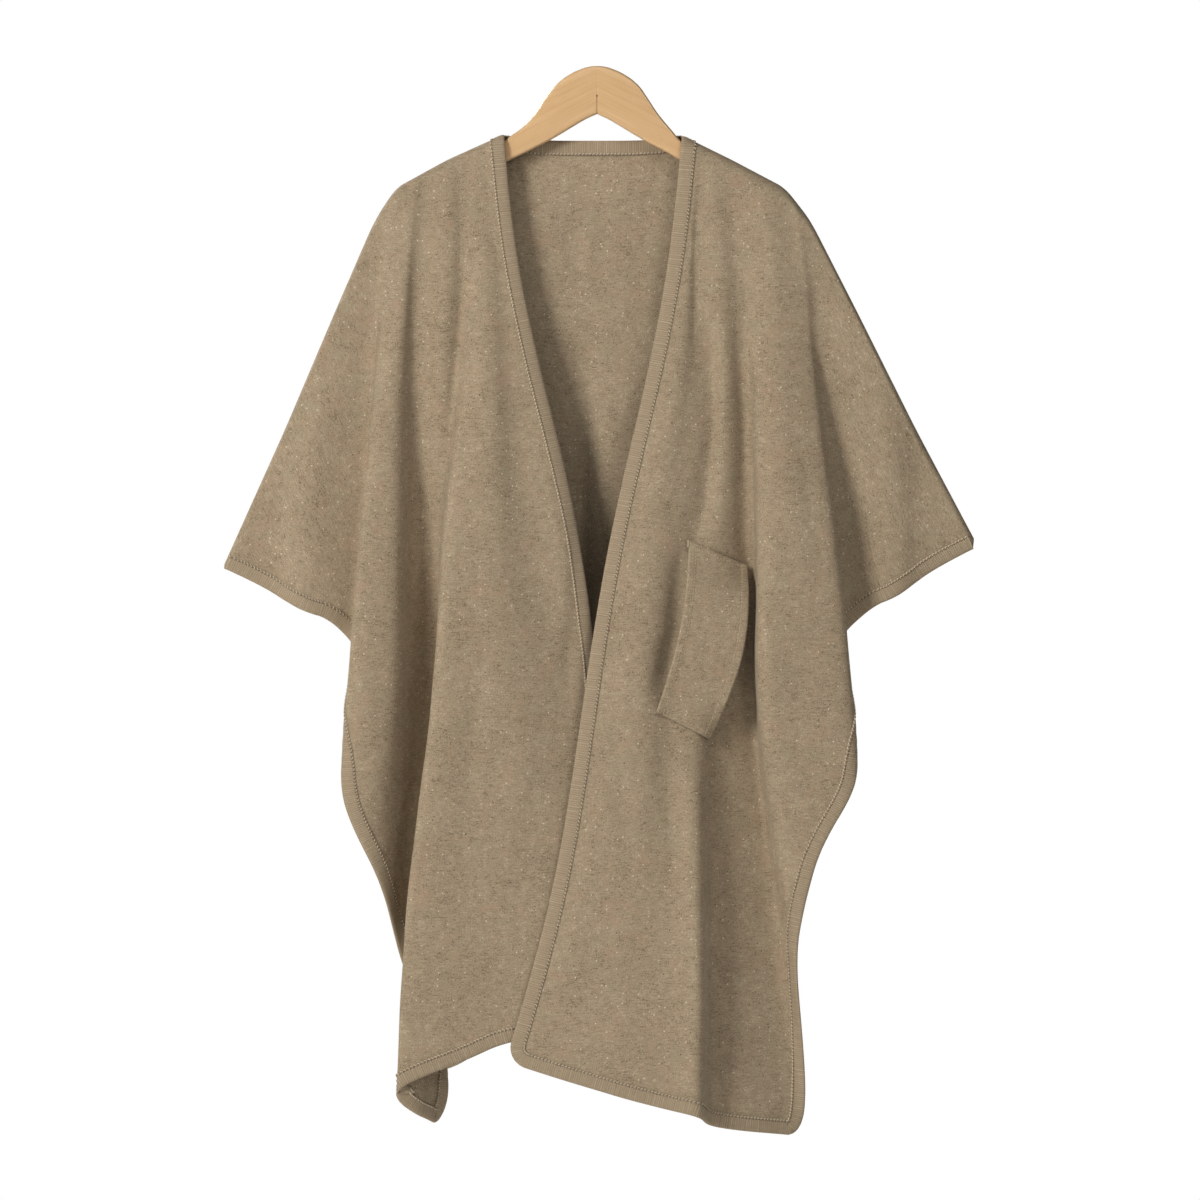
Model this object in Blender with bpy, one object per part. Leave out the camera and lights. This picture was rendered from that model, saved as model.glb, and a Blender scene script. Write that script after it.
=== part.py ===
"""Open-fronted wool poncho with a pull-through loop, hanging on a wooden hanger.

The body is one felted cloth folded over the shoulders, modelled as a back panel and two front
panels that meet along the shoulder fold. A place on the cloth is given by three sizes in
millimetres: across (to the wearer's left of the centre line), drop (below the hanger's crown)
and forward (in front of the hanger's middle plane). The frame has X across, Y to the back and
Z up, with its origin at the crown, where the hanger's hook screws in.
"""

import math
from collections import namedtuple

import bmesh
import bpy
import numpy as np

MM = 0.001

# Cloth, seams and the bound edge
CLOTH = 2.0
SEAM_GAP = 0.3
BAND = 0.7
BAND_WIDTH = 14.0
FRONT_CORNER = 22.0
EDGE_EASE = 7.0

# The fold over the shoulders and the neck opening at the back
ROLL = 11.0
NECK_CENTRE = -4.0
NECK_HALF = 90.0
NECK_DROP = 75.5
NECK_RISE = 6.5

# Loop sewn to the wearer's left front: its corners as (across, drop), and how far it stands out
LOOP_TOP = ((92, 476), (151, 501))
LOOP_BOTTOM = ((59, 647), (113, 674))
LOOP_FORWARD = ((43, 37), (59, 46))
LOOP_BOW = (8, 14)
LOOP_SWELL = (11, 12)
LOOP_CLEAR = 2.4
LOOP_INNER = 7

# Hanger
HANGER_THICK = 12.0
HANGER_ROUND = 3.5
SOCKET_RADIUS = 2.25
SOCKET_DEPTH = 22.0

# Heights at which every fold is measured, as drops below the crown
LEVELS = {"shoulder": 70, "yoke": 175, "chest": 305, "elbow": 455, "waist": 625, "hip": 825, "hem": 1045}

# A fold line runs down the cloth from the shoulder to the hem or side edge. Its two lists give
# where it lies at each level, and end is the drop at which the cloth's own edge cuts it off.
Fold = namedtuple("Fold", "name across forward end")

RIGHT_FRONT = [
    Fold("front edge", (-94, -83, -57, -22, 0, 8, 8), (11, 12, 17, 27, 31, 40, 40), 958),
    Fold("edge roll", (-100, -92, -70, -39, -16, -8, -8), (11, 13, 20, 33, 35, 42, 42), 960),
    Fold("edge hollow", (-107, -99, -83, -62, -32, -24, -24), (11, 13, 20, 30, 29, 42, 43), 962),
    Fold("body swell", (-115, -108, -102, -100, -90, -92, -98), (11, 14, 27, 45, 54, 49, 45), 978),
    Fold("body side", (-124, -120, -120, -132, -134, -146, -154), (11, 14, 26, 47, 58, 55, 51), 1001),
    Fold("body lip", (-132, -128, -134, -151, -163, -187, -200), (11, 12, 19, 42, 56, 56, 54), 1027),
    Fold("lip underside", (-139, -135, -140, -153, -161, -180, -185), (11, 11, 14, 29, 39, 45, 47), 1047),
    Fold("inner ripple", (-151, -153, -158, -161, -152, -158, -162), (11, 14, 17, 16, 12, 20, 27), 1060),
    Fold("pleat root", (-164, -171, -177, -173, -158, -156, -146), (11, 11, 11, 10, 6, 10, 19), 1003),
    Fold("outer flank", (-174, -184, -190, -194, -190, -190, -193), (11, 13, 16, 17, 11, 12, 14), 893),
    Fold("outer swell", (-183, -193, -203, -216, -224, -227, -227), (11, 15, 26, 36, 39, 34, 30), 801),
    Fold("outer lip", (-193, -207, -220, -235, -249, -264, -280), (11, 13, 20, 34, 38, 34, 30), 707),
    Fold("outer underside", (-197, -210, -221, -233, -246, -259, -272), (10, 12, 16, 25, 29, 28, 28), 652),
    Fold("sleeve root", (-202, -215, -224, -233, -244, -251, -260), (10, 10, 10, 11, 12, 12, 12), 585),
    Fold("sleeve inner", (-223, -235, -250, -264, -272, -278, -284), (9, 9, 10, 12, 13, 13, 13), 552),
    Fold("sleeve outer", (-298, -300, -306, -314, -315, -315, -315), (7, 7, 8, 10, 10, 10, 10), 533),
    Fold("sleeve tip", (-376,) * 7, (7,) * 7, 501),
]

LEFT_FRONT = [
    Fold("front edge", (86, 75, 52, 18, -11, -44, -106), (11, 12, 19, 36, 52, 54, 52), 995),
    Fold("edge swell", (93, 84, 68, 42, 22, 2, -30), (11, 13, 22, 41, 57, 58, 56), 1016),
    Fold("fore swell", (100, 94, 85, 62, 50, 44, 30), (11, 14, 23, 42, 57, 59, 58), 1033),
    Fold("fore hollow", (108, 100, 99, 86, 71, 74, 70), (11, 12, 18, 37, 50, 57, 58), 1043),
    Fold("mid ripple", (118, 120, 122, 114, 103, 102, 104), (11, 14, 23, 36, 45, 56, 58), 1052),
    Fold("step foot", (128, 131, 133, 129, 119, 113, 115), (11, 12, 20, 32, 37, 43, 45), 1059),
    Fold("side hollow", (138, 141, 144, 146, 143, 148, 154), (11, 11, 15, 26, 29, 36, 38), 1066),
    Fold("hollow side", (146, 149, 152, 157, 159, 176, 198), (11, 12, 16, 27, 31, 31, 30), 1071),
    Fold("side lip", (153, 156, 158, 160, 162, 187, 214), (11, 13, 22, 42, 52, 37, 27), 900),
    Fold("side swell", (162, 170, 176, 184, 193, 209, 228), (11, 15, 27, 51, 58, 44, 32), 815),
    Fold("side round", (172, 184, 197, 216, 231, 240, 248), (11, 14, 25, 48, 55, 46, 40), 759),
    Fold("outer lip", (182, 199, 216, 236, 254, 268, 282), (10, 12, 19, 38, 45, 42, 40), 695),
    Fold("outer underside", (187, 203, 218, 234, 250, 262, 274), (10, 12, 16, 29, 34, 32, 32), 642),
    Fold("sleeve root", (194, 210, 223, 235, 248, 255, 261), (10, 10, 10, 12, 13, 13, 13), 574),
    Fold("sleeve inner", (214, 237, 260, 273, 282, 290, 298), (9, 9, 10, 12, 13, 13, 13), 539),
    Fold("sleeve outer", (292, 302, 312, 319, 320, 320, 320), (7, 7, 8, 10, 10, 10, 10), 516),
    Fold("sleeve tip", (380,) * 7, (7,) * 7, 481),
]

BACK = [
    Fold("right tip", (-376,) * 7, (-7,) * 7, 501),
    Fold("right sleeve outer", (-298, -300, -306, -314, -315, -315, -315), (-7, -7, -8, -10, -10, -10, -10), 530),
    Fold("right sleeve inner", (-223, -235, -250, -262, -270, -276, -282), (-9, -9, -10, -12, -13, -13, -13), 550),
    Fold("right sleeve root", (-202, -214, -223, -231, -242, -250, -258), (-10, -10, -10, -11, -12, -12, -12), 580),
    Fold("right underside", (-196, -208, -219, -231, -243, -254, -262), (-10, -12, -16, -26, -31, -30, -30), 645),
    Fold("right outer lip", (-192, -205, -217, -232, -246, -256, -260), (-11, -13, -20, -35, -42, -40, -38), 690),
    Fold("right outer swell", (-181, -191, -201, -210, -216, -222, -240), (-11, -15, -26, -40, -47, -46, -44), 772),
    Fold("right flank", (-172, -181, -187, -188, -187, -192, -212), (-11, -13, -17, -24, -27, -30, -30), 856),
    Fold("right hollow", (-160, -166, -170, -168, -163, -168, -190), (-11, -11, -13, -16, -17, -20, -24), 935),
    Fold("right side lip", (-148, -150, -156, -163, -170, -178, -184), (-11, -12, -17, -31, -45, -52, -50), 1013),
    Fold("right swell", (-136, -136, -140, -144, -148, -150, -152), (-11, -14, -25, -43, -55, -60, -58), 1007),
    Fold("right swell side", (-120, -116, -112, -108, -104, -104, -104), (-11, -13, -20, -31, -38, -43, -45), 980),
    Fold("right trough", (-104, -98, -86, -74, -66, -62, -60), (-11, -12, -15, -20, -24, -29, -34), 966),
    Fold("centre right", (-58, -54, -46, -38, -32, -30, -30), (-11, -13, -18, -29, -38, -44, -47), 962),
    Fold("centre valley", (-14, -14, -12, -12, -12, -10, -10), (-11, -15, -21, -33, -42, -47, -50), 962),
    Fold("centre step", (6, 8, 6, 2, 2, 6, 8), (-11, -13, -16, -21, -28, -34, -39), 960),
    Fold("centre ridge", (26, 28, 26, 22, 24, 30, 34), (-11, -12, -14, -18, -22, -27, -32), 961),
    Fold("left trough", (60, 66, 72, 78, 84, 90, 94), (-11, -13, -18, -27, -34, -39, -42), 966),
    Fold("left swell", (104, 112, 120, 128, 136, 144, 150), (-11, -14, -25, -42, -54, -58, -56), 986),
    Fold("left swell side", (122, 131, 139, 148, 158, 170, 178), (-11, -13, -20, -31, -40, -45, -46), 1003),
    Fold("left hollow", (138, 147, 154, 162, 168, 180, 190), (-11, -11, -13, -17, -19, -25, -32), 1020),
    Fold("left corner", (152, 162, 170, 178, 184, 190, 207), (-11, -13, -16, -20, -22, -26, -31), 1026),
    Fold("left outer swell", (164, 176, 188, 202, 210, 208, 220), (-11, -15, -26, -40, -45, -41, -38), 812),
    Fold("left outer lip", (178, 194, 211, 229, 246, 258, 280), (-10, -12, -19, -36, -43, -40, -38), 690),
    Fold("left underside", (186, 202, 217, 232, 248, 258, 272), (-10, -12, -16, -28, -33, -31, -31), 641),
    Fold("left sleeve root", (194, 210, 223, 235, 247, 254, 260), (-10, -10, -10, -12, -13, -13, -13), 571),
    Fold("left sleeve inner", (214, 237, 260, 272, 280, 288, 296), (-9, -9, -10, -12, -13, -13, -13), 538),
    Fold("left sleeve outer", (292, 302, 312, 318, 319, 319, 319), (-7, -7, -8, -10, -10, -10, -10), 514),
    Fold("left tip", (380,) * 7, (-7,) * 7, 481),
]

# The shoulder fold, from the right sleeve's tip over both arms of the hanger to the left tip
Ridge = namedtuple("Ridge", "across drop")
RIDGE = [
    Ridge(-380, 516),
    Ridge(-312, 365),
    Ridge(-261, 245),
    Ridge(-222, 155),
    Ridge(-201, 123),
    Ridge(-150, 95),
    Ridge(-88, 67),
    Ridge(0, 46),
    Ridge(82, 69),
    Ridge(135, 95),
    Ridge(188, 123),
    Ridge(213, 155),
    Ridge(259, 245),
    Ridge(319, 365),
    Ridge(387, 493),
]

# Hanger seen from the front: its upper and lower edge at each place along it
Arm = namedtuple("Arm", "across top bottom")
HANGER = [
    Arm(-205, 136, 145),
    Arm(-201, 130, 148),
    Arm(-190, 123, 143),
    Arm(-150, 100.5, 124),
    Arm(-110, 82, 105),
    Arm(-95, 77, 98),
    Arm(-90, 73.5, 95.5),
    Arm(-86, 69.5, 93.5),
    Arm(-78, 64.5, 90),
    Arm(-69, 56.5, 85.5),
    Arm(-61, 46.5, 81.5),
    Arm(-53, 34, 77.5),
    Arm(-43, 20.5, 73),
    Arm(-34, 12.5, 68),
    Arm(-24, 6.3, 62),
    Arm(-13, 1.8, 55),
    Arm(-5, 0, 50),
    Arm(5, 0, 50),
    Arm(13, 1.8, 55),
    Arm(24, 6.3, 62),
    Arm(34, 12.5, 68),
    Arm(43, 20.5, 73),
    Arm(52, 34, 77.5),
    Arm(60, 46.5, 81.5),
    Arm(68, 56.5, 85.5),
    Arm(75, 64.5, 89.5),
    Arm(79, 69.5, 92),
    Arm(83, 74.5, 94),
    Arm(88, 78, 96),
    Arm(106, 86, 105),
    Arm(146, 103.5, 124),
    Arm(180, 122, 141),
    Arm(191, 131, 145),
    Arm(195, 137, 142),
]

WOOL = (0.305, 0.238, 0.156)
BRAID = (0.33, 0.262, 0.175)
BEECH = (0.630, 0.397, 0.209)


def spline_weights(knots, at):
    """Rows of weights that turn values at the knots into a natural cubic spline's values."""
    n = len(knots)
    gap = np.diff(knots)
    left = np.eye(n)
    right = np.zeros((n, n))
    for k in range(1, n - 1):
        left[k, k - 1 : k + 2] = gap[k - 1], 2 * (gap[k - 1] + gap[k]), gap[k]
        right[k, k - 1 : k + 2] = 6 / gap[k - 1], -6 / gap[k - 1] - 6 / gap[k], 6 / gap[k]
    bend = np.linalg.solve(left, right)
    at = np.asarray(at, float)
    inside = np.clip(at, knots[0], knots[-1])
    i = np.clip(np.searchsorted(knots, inside, side="right") - 1, 0, n - 2)
    one = np.eye(n)
    h = gap[i][..., None]
    b = ((inside - knots[i]) / gap[i])[..., None]
    a = 1 - b
    value = a * one[i] + b * one[i + 1] + h * h / 6 * ((a**3 - a) * bend[i] + (b**3 - b) * bend[i + 1])
    slope = (one[i + 1] - one[i]) / h + h / 6 * ((3 * b * b - 1) * bend[i + 1] - (3 * a * a - 1) * bend[i])
    return value + slope * (at - inside)[..., None]


def eased(at, knots, values, ease):
    """Straight lines between the knots, with each corner rounded over the given distance."""
    spread = np.linspace(-1, 1, 9) * ease
    lines = np.interp(np.asarray(at, float)[..., None] + spread, knots, values)
    return lines.mean(axis=-1)


def ridge_drop(across):
    return eased(across, [r.across for r in RIDGE], [r.drop for r in RIDGE], EDGE_EASE)


def unit(vectors):
    return vectors / np.linalg.norm(vectors, axis=-1, keepdims=True)


class Panel:
    """One panel of the cloth: side says where along its row of folds, drop how far down."""

    def __init__(self, folds, corner, neck):
        self.levels = np.array(list(LEVELS.values()), float)
        self.across_table = np.array([f.across for f in folds], float)
        self.forward_table = np.array([f.forward for f in folds], float)
        self.ends = np.array([f.end for f in folds], float)
        self.corner = corner
        self.neck = neck
        self.face = math.copysign(1, self.forward_table[0, 0])
        step = np.hypot(np.diff(self.across_table, axis=0), np.diff(self.forward_table, axis=0))
        below = self.levels < np.maximum(self.ends[1:], self.ends[:-1])[:, None]
        self.knots = np.concatenate([[0], np.cumsum((step * below).sum(1) / below.sum(1))])

    def read(self, table, side, drop):
        rows = spline_weights(self.knots, side)
        columns = spline_weights(self.levels, drop)
        return np.einsum("...i,ij,...j->...", rows, table, columns)

    def across(self, side, drop):
        return self.read(self.across_table, side, drop)

    def top(self, side):
        """Drop at which the fold line leaves the shoulder fold, or the neck edge at the back."""
        drop = np.full(np.shape(side), 90.0)
        for _ in range(20):
            drop = ridge_drop(self.across(side, drop))
        if self.neck:
            away = np.clip(np.abs(self.across(side, drop) - NECK_CENTRE) / NECK_HALF, 0, 1)
            drop = np.maximum(drop, np.where(away < 1, NECK_DROP - NECK_RISE * away**4, 0))
        return drop

    def bottom(self, side):
        side = np.asarray(side, float)
        drop = eased(side, self.knots, self.ends, EDGE_EASE)
        if self.corner:
            run = np.abs(self.across(side, drop) - self.across(0, drop))
            inside = 1 - np.clip(run / self.corner, 0, 1)
            drop = drop - self.corner * (1 - np.sqrt(1 - inside**2))
        return drop

    def place(self, side, drop):
        """Point of the cloth's middle surface in the frame, in millimetres."""
        top = self.top(side)
        across = self.across(side, drop)
        forward = self.read(self.forward_table, side, drop)
        start = 0.0
        if self.neck:
            away = np.clip(np.abs(self.across(side, top) - NECK_CENTRE) / NECK_HALF, 0, 1)
            start = 1 - away**6
        roll = np.clip(start + (drop - top) / ROLL, 0, 1)
        seam = self.face * SEAM_GAP / 2
        forward = seam + (forward - seam) * np.sqrt(1 - (1 - roll) ** 2)
        return np.stack([across, -forward, -drop], axis=-1)

    def normal(self, side, drop):
        """Unit vector out of the cloth's outer face."""
        down = self.place(side, drop + 0.6) - self.place(side, drop - 0.6)
        along = self.place(side + 0.3, drop) - self.place(side - 0.3, drop)
        turn = math.copysign(1, self.across_table[-1, 0] - self.across_table[0, 0])
        return unit(np.cross(along, down)) * self.face * turn

    def side_at(self, across, drop):
        """Place along the row of folds that lies at the given distance across."""
        sides = np.linspace(0, self.knots[-1], 1200)
        reach = self.across(sides, np.full(sides.shape, drop))
        if reach[-1] < reach[0]:
            return np.interp(-across, -reach, sides)
        return np.interp(across, reach, sides)


def panel_columns(panel, extra):
    """Places of the mesh's columns: on each fold line, halfway between, and where asked."""
    knots = panel.knots
    middles = (knots[1:] + knots[:-1]) / 2
    columns = np.sort(np.concatenate([knots, middles, extra]))
    last = knots[-1] - 3.5
    columns = columns[(columns > 5) & (columns < last - 1)]
    columns = np.concatenate([[3.5 if panel.neck else 0.0], columns, [last]])
    keep = np.concatenate([[True], np.diff(columns) > 2.0])
    return columns[keep]


def row_drops(panel, sides, count):
    """Drops of the mesh's rows: close round the shoulder fold, then even, then one at the band's width."""
    top = panel.top(sides[:, 0])[:, None]
    bottom = panel.bottom(sides[:, -1])[:, None]
    length = bottom - top
    edge = panel.place(sides[:, -1], bottom[:, 0])
    along = unit(np.gradient(edge, axis=0))
    down = unit(panel.place(sides[:, -1], bottom[:, 0]) - panel.place(sides[:, -1], bottom[:, 0] - 4))
    slant = np.linalg.norm(np.cross(down, along), axis=1)[:, None]
    band = np.minimum(BAND_WIDTH / np.maximum(slant, 0.25), 0.35 * length)
    near = np.minimum(1.0, 0.3 * length / BAND_WIDTH)
    turn = ROLL * (1 - np.cos(np.linspace(0, math.pi / 2, 4)))
    head = top + near * np.append(turn, BAND_WIDTH)
    start = head[:, -1:]
    body = start + (bottom - band - start) * np.linspace(0, 1, count)[1:]
    return np.concatenate([head, body, bottom], axis=1)


def panel_grid(panel, columns, count):
    """Side and drop of each point of a panel's mesh, its second column at the band's width."""
    sides = np.repeat(columns[:, None], count + 5, axis=1)
    drops = row_drops(panel, sides, count)
    if panel.neck:
        return sides, drops
    base = columns[:, None]
    fade = np.clip(1 - base / 110, 0, 1) ** 2
    for _ in range(4):
        first = band_side(panel, drops[1])
        lean = first - columns[1]
        sides = base + lean * fade / fade[1]
        sides[0] = 0
        drops = row_drops(panel, sides, count)
    return sides, drops


def band_side(panel, drops):
    """Place along the row of folds that is one band's width from the front edge, at each drop."""
    sides = np.linspace(0, 60, 240)
    found = []
    for drop in drops:
        here = np.full(sides.shape, drop)
        step = np.hypot(np.diff(panel.across(sides, here)), np.diff(panel.read(panel.forward_table, sides, here)))
        found.append(np.interp(BAND_WIDTH * 1.04, np.concatenate([[0], np.cumsum(step)]), sides))
    return np.array(found)


def short_diagonals(grid):
    """Cells of a grid of points that are split along their other diagonal, the shorter one."""
    one = np.linalg.norm(grid[1:, 1:] - grid[:-1, :-1], axis=-1)
    other = np.linalg.norm(grid[1:, :-1] - grid[:-1, 1:], axis=-1)
    return other < one


def shell(name, outer, inner, material):
    """Closed solid between two grids of points that lie over each other."""
    rows, columns = outer.shape[:2]
    count = rows * columns
    verts = np.concatenate([outer.reshape(-1, 3), inner.reshape(-1, 3)]) * MM
    at = np.arange(count).reshape(rows, columns)
    turned = short_diagonals((outer + inner) / 2)
    faces = []
    for grid, flip in ((at, False), (at + count, True)):
        corners = np.stack([grid[:-1, :-1], grid[1:, :-1], grid[1:, 1:], grid[:-1, 1:]], axis=-1)
        one = corners[..., [0, 1, 2, 0, 2, 3]]
        other = corners[..., [1, 2, 3, 1, 3, 0]]
        halves = np.where(turned[..., None], other, one).reshape(-1, 3)
        faces += (halves[:, ::-1] if flip else halves).tolist()
    rim = np.concatenate([at[0, :-1], at[:-1, -1], at[-1, :0:-1], at[:0:-1, 0]])
    for here, there in zip(rim, np.roll(rim, -1)):
        faces.append([int(here), int(there), int(there) + count, int(here) + count])
    return solid(name, verts.tolist(), faces, material)


def solid(name, verts, faces, material):
    mesh = bpy.data.meshes.new(name)
    mesh.from_pydata(verts, [], faces)
    work = bmesh.new()
    work.from_mesh(mesh)
    bmesh.ops.recalc_face_normals(work, faces=work.faces)
    work.to_mesh(mesh)
    work.free()
    mesh.shade_smooth()
    mesh.set_sharp_from_angle(angle=math.radians(50))
    mesh.materials.append(material)
    piece = bpy.data.objects.new(name, mesh)
    bpy.context.collection.objects.link(piece)
    return piece


def cloth_surface(panel, columns, count):
    """Points of the cloth's middle surface, and the way out of it, on the panel's mesh."""
    sides, drops = panel_grid(panel, columns, count)
    middle = panel.place(sides, drops)
    normals = panel.normal(sides, np.maximum(drops, panel.top(sides[:, 0])[:, None] + 0.7))
    folded = np.ones(len(middle), bool)
    if panel.neck:
        folded = np.abs(middle[:, 0, 0] - NECK_CENTRE) > NECK_HALF
    normals[folded, 0, 1] = 0
    return middle, unit(normals)


def edge_binding(name, middle, normals, cells, wrapped, material):
    """Band folded over the cloth's edge: it covers the marked cells on both faces of the cloth.

    wrapped marks the mesh points that lie on the bound edge, where the two faces join up."""
    rows, columns = middle.shape[:2]
    away = np.zeros_like(middle)
    for i, j in zip(*np.nonzero(wrapped)):
        for di, dj in ((1, 0), (-1, 0), (0, 1), (0, -1)):
            a, b = i + di, j + dj
            if 0 <= a < rows and 0 <= b < columns and not wrapped[a, b]:
                away[i, j] += unit(middle[i, j] - middle[a, b])
    away -= np.sum(away * normals, axis=-1, keepdims=True) * normals
    size = np.maximum(np.linalg.norm(away, axis=-1, keepdims=True), 1e-9)
    away = away / size
    clear = CLOTH / 2 + SEAM_GAP
    skins = [
        middle + normals * (clear + BAND) + away * (SEAM_GAP + BAND),
        middle + normals * clear + away * SEAM_GAP,
        middle - normals * clear + away * SEAM_GAP,
        middle - normals * (clear + BAND) + away * (SEAM_GAP + BAND),
    ]
    points = np.concatenate([skin.reshape(-1, 3) for skin in skins]) * MM
    total = rows * columns
    turned = short_diagonals(middle)
    faces = []
    uses = {}
    for i, j in zip(*np.nonzero(cells)):
        ring = [i * columns + j, (i + 1) * columns + j, (i + 1) * columns + j + 1, i * columns + j + 1]
        for layer in range(4):
            for half in ((1, 2, 3), (1, 3, 0)) if turned[i, j] else ((0, 1, 2), (0, 2, 3)):
                faces.append([ring[k] + layer * total for k in half])
        for here, there in zip(ring, ring[1:] + ring[:1]):
            key = (min(here, there), max(here, there))
            uses[key] = uses.get(key, 0) + 1
    bound = wrapped.reshape(-1)
    ends = {}
    for (here, there), count in uses.items():
        if count == 2:
            continue
        if bound[here] and bound[there]:
            joined = ((0, 3), (1, 2))
            for k in (here, there):
                ends[k] = ends.get(k, 0) + 1
        else:
            joined = ((0, 1), (2, 3))
        for one, other in joined:
            faces.append([here + one * total, there + one * total, there + other * total, here + other * total])
    for k, count in ends.items():
        if count == 1:
            faces.append([k, k + total, k + 2 * total, k + 3 * total])
    kept = sorted({k for face in faces for k in face})
    renumber = {k: n for n, k in enumerate(kept)}
    faces = [[int(renumber[k]) for k in face] for face in faces]
    return solid(name, points[kept].tolist(), faces, material)


def front_reach(panel, across, drop):
    """How far forward the left front comes close beside a place, inward of its side lip."""
    sides = np.linspace(0, panel.knots[LOOP_INNER], 300)
    drops = np.full(sides.shape, drop)
    near = across + np.linspace(-3, 3, 7)
    return np.interp(near, panel.across(sides, drops), panel.read(panel.forward_table, sides, drops)).max()


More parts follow.
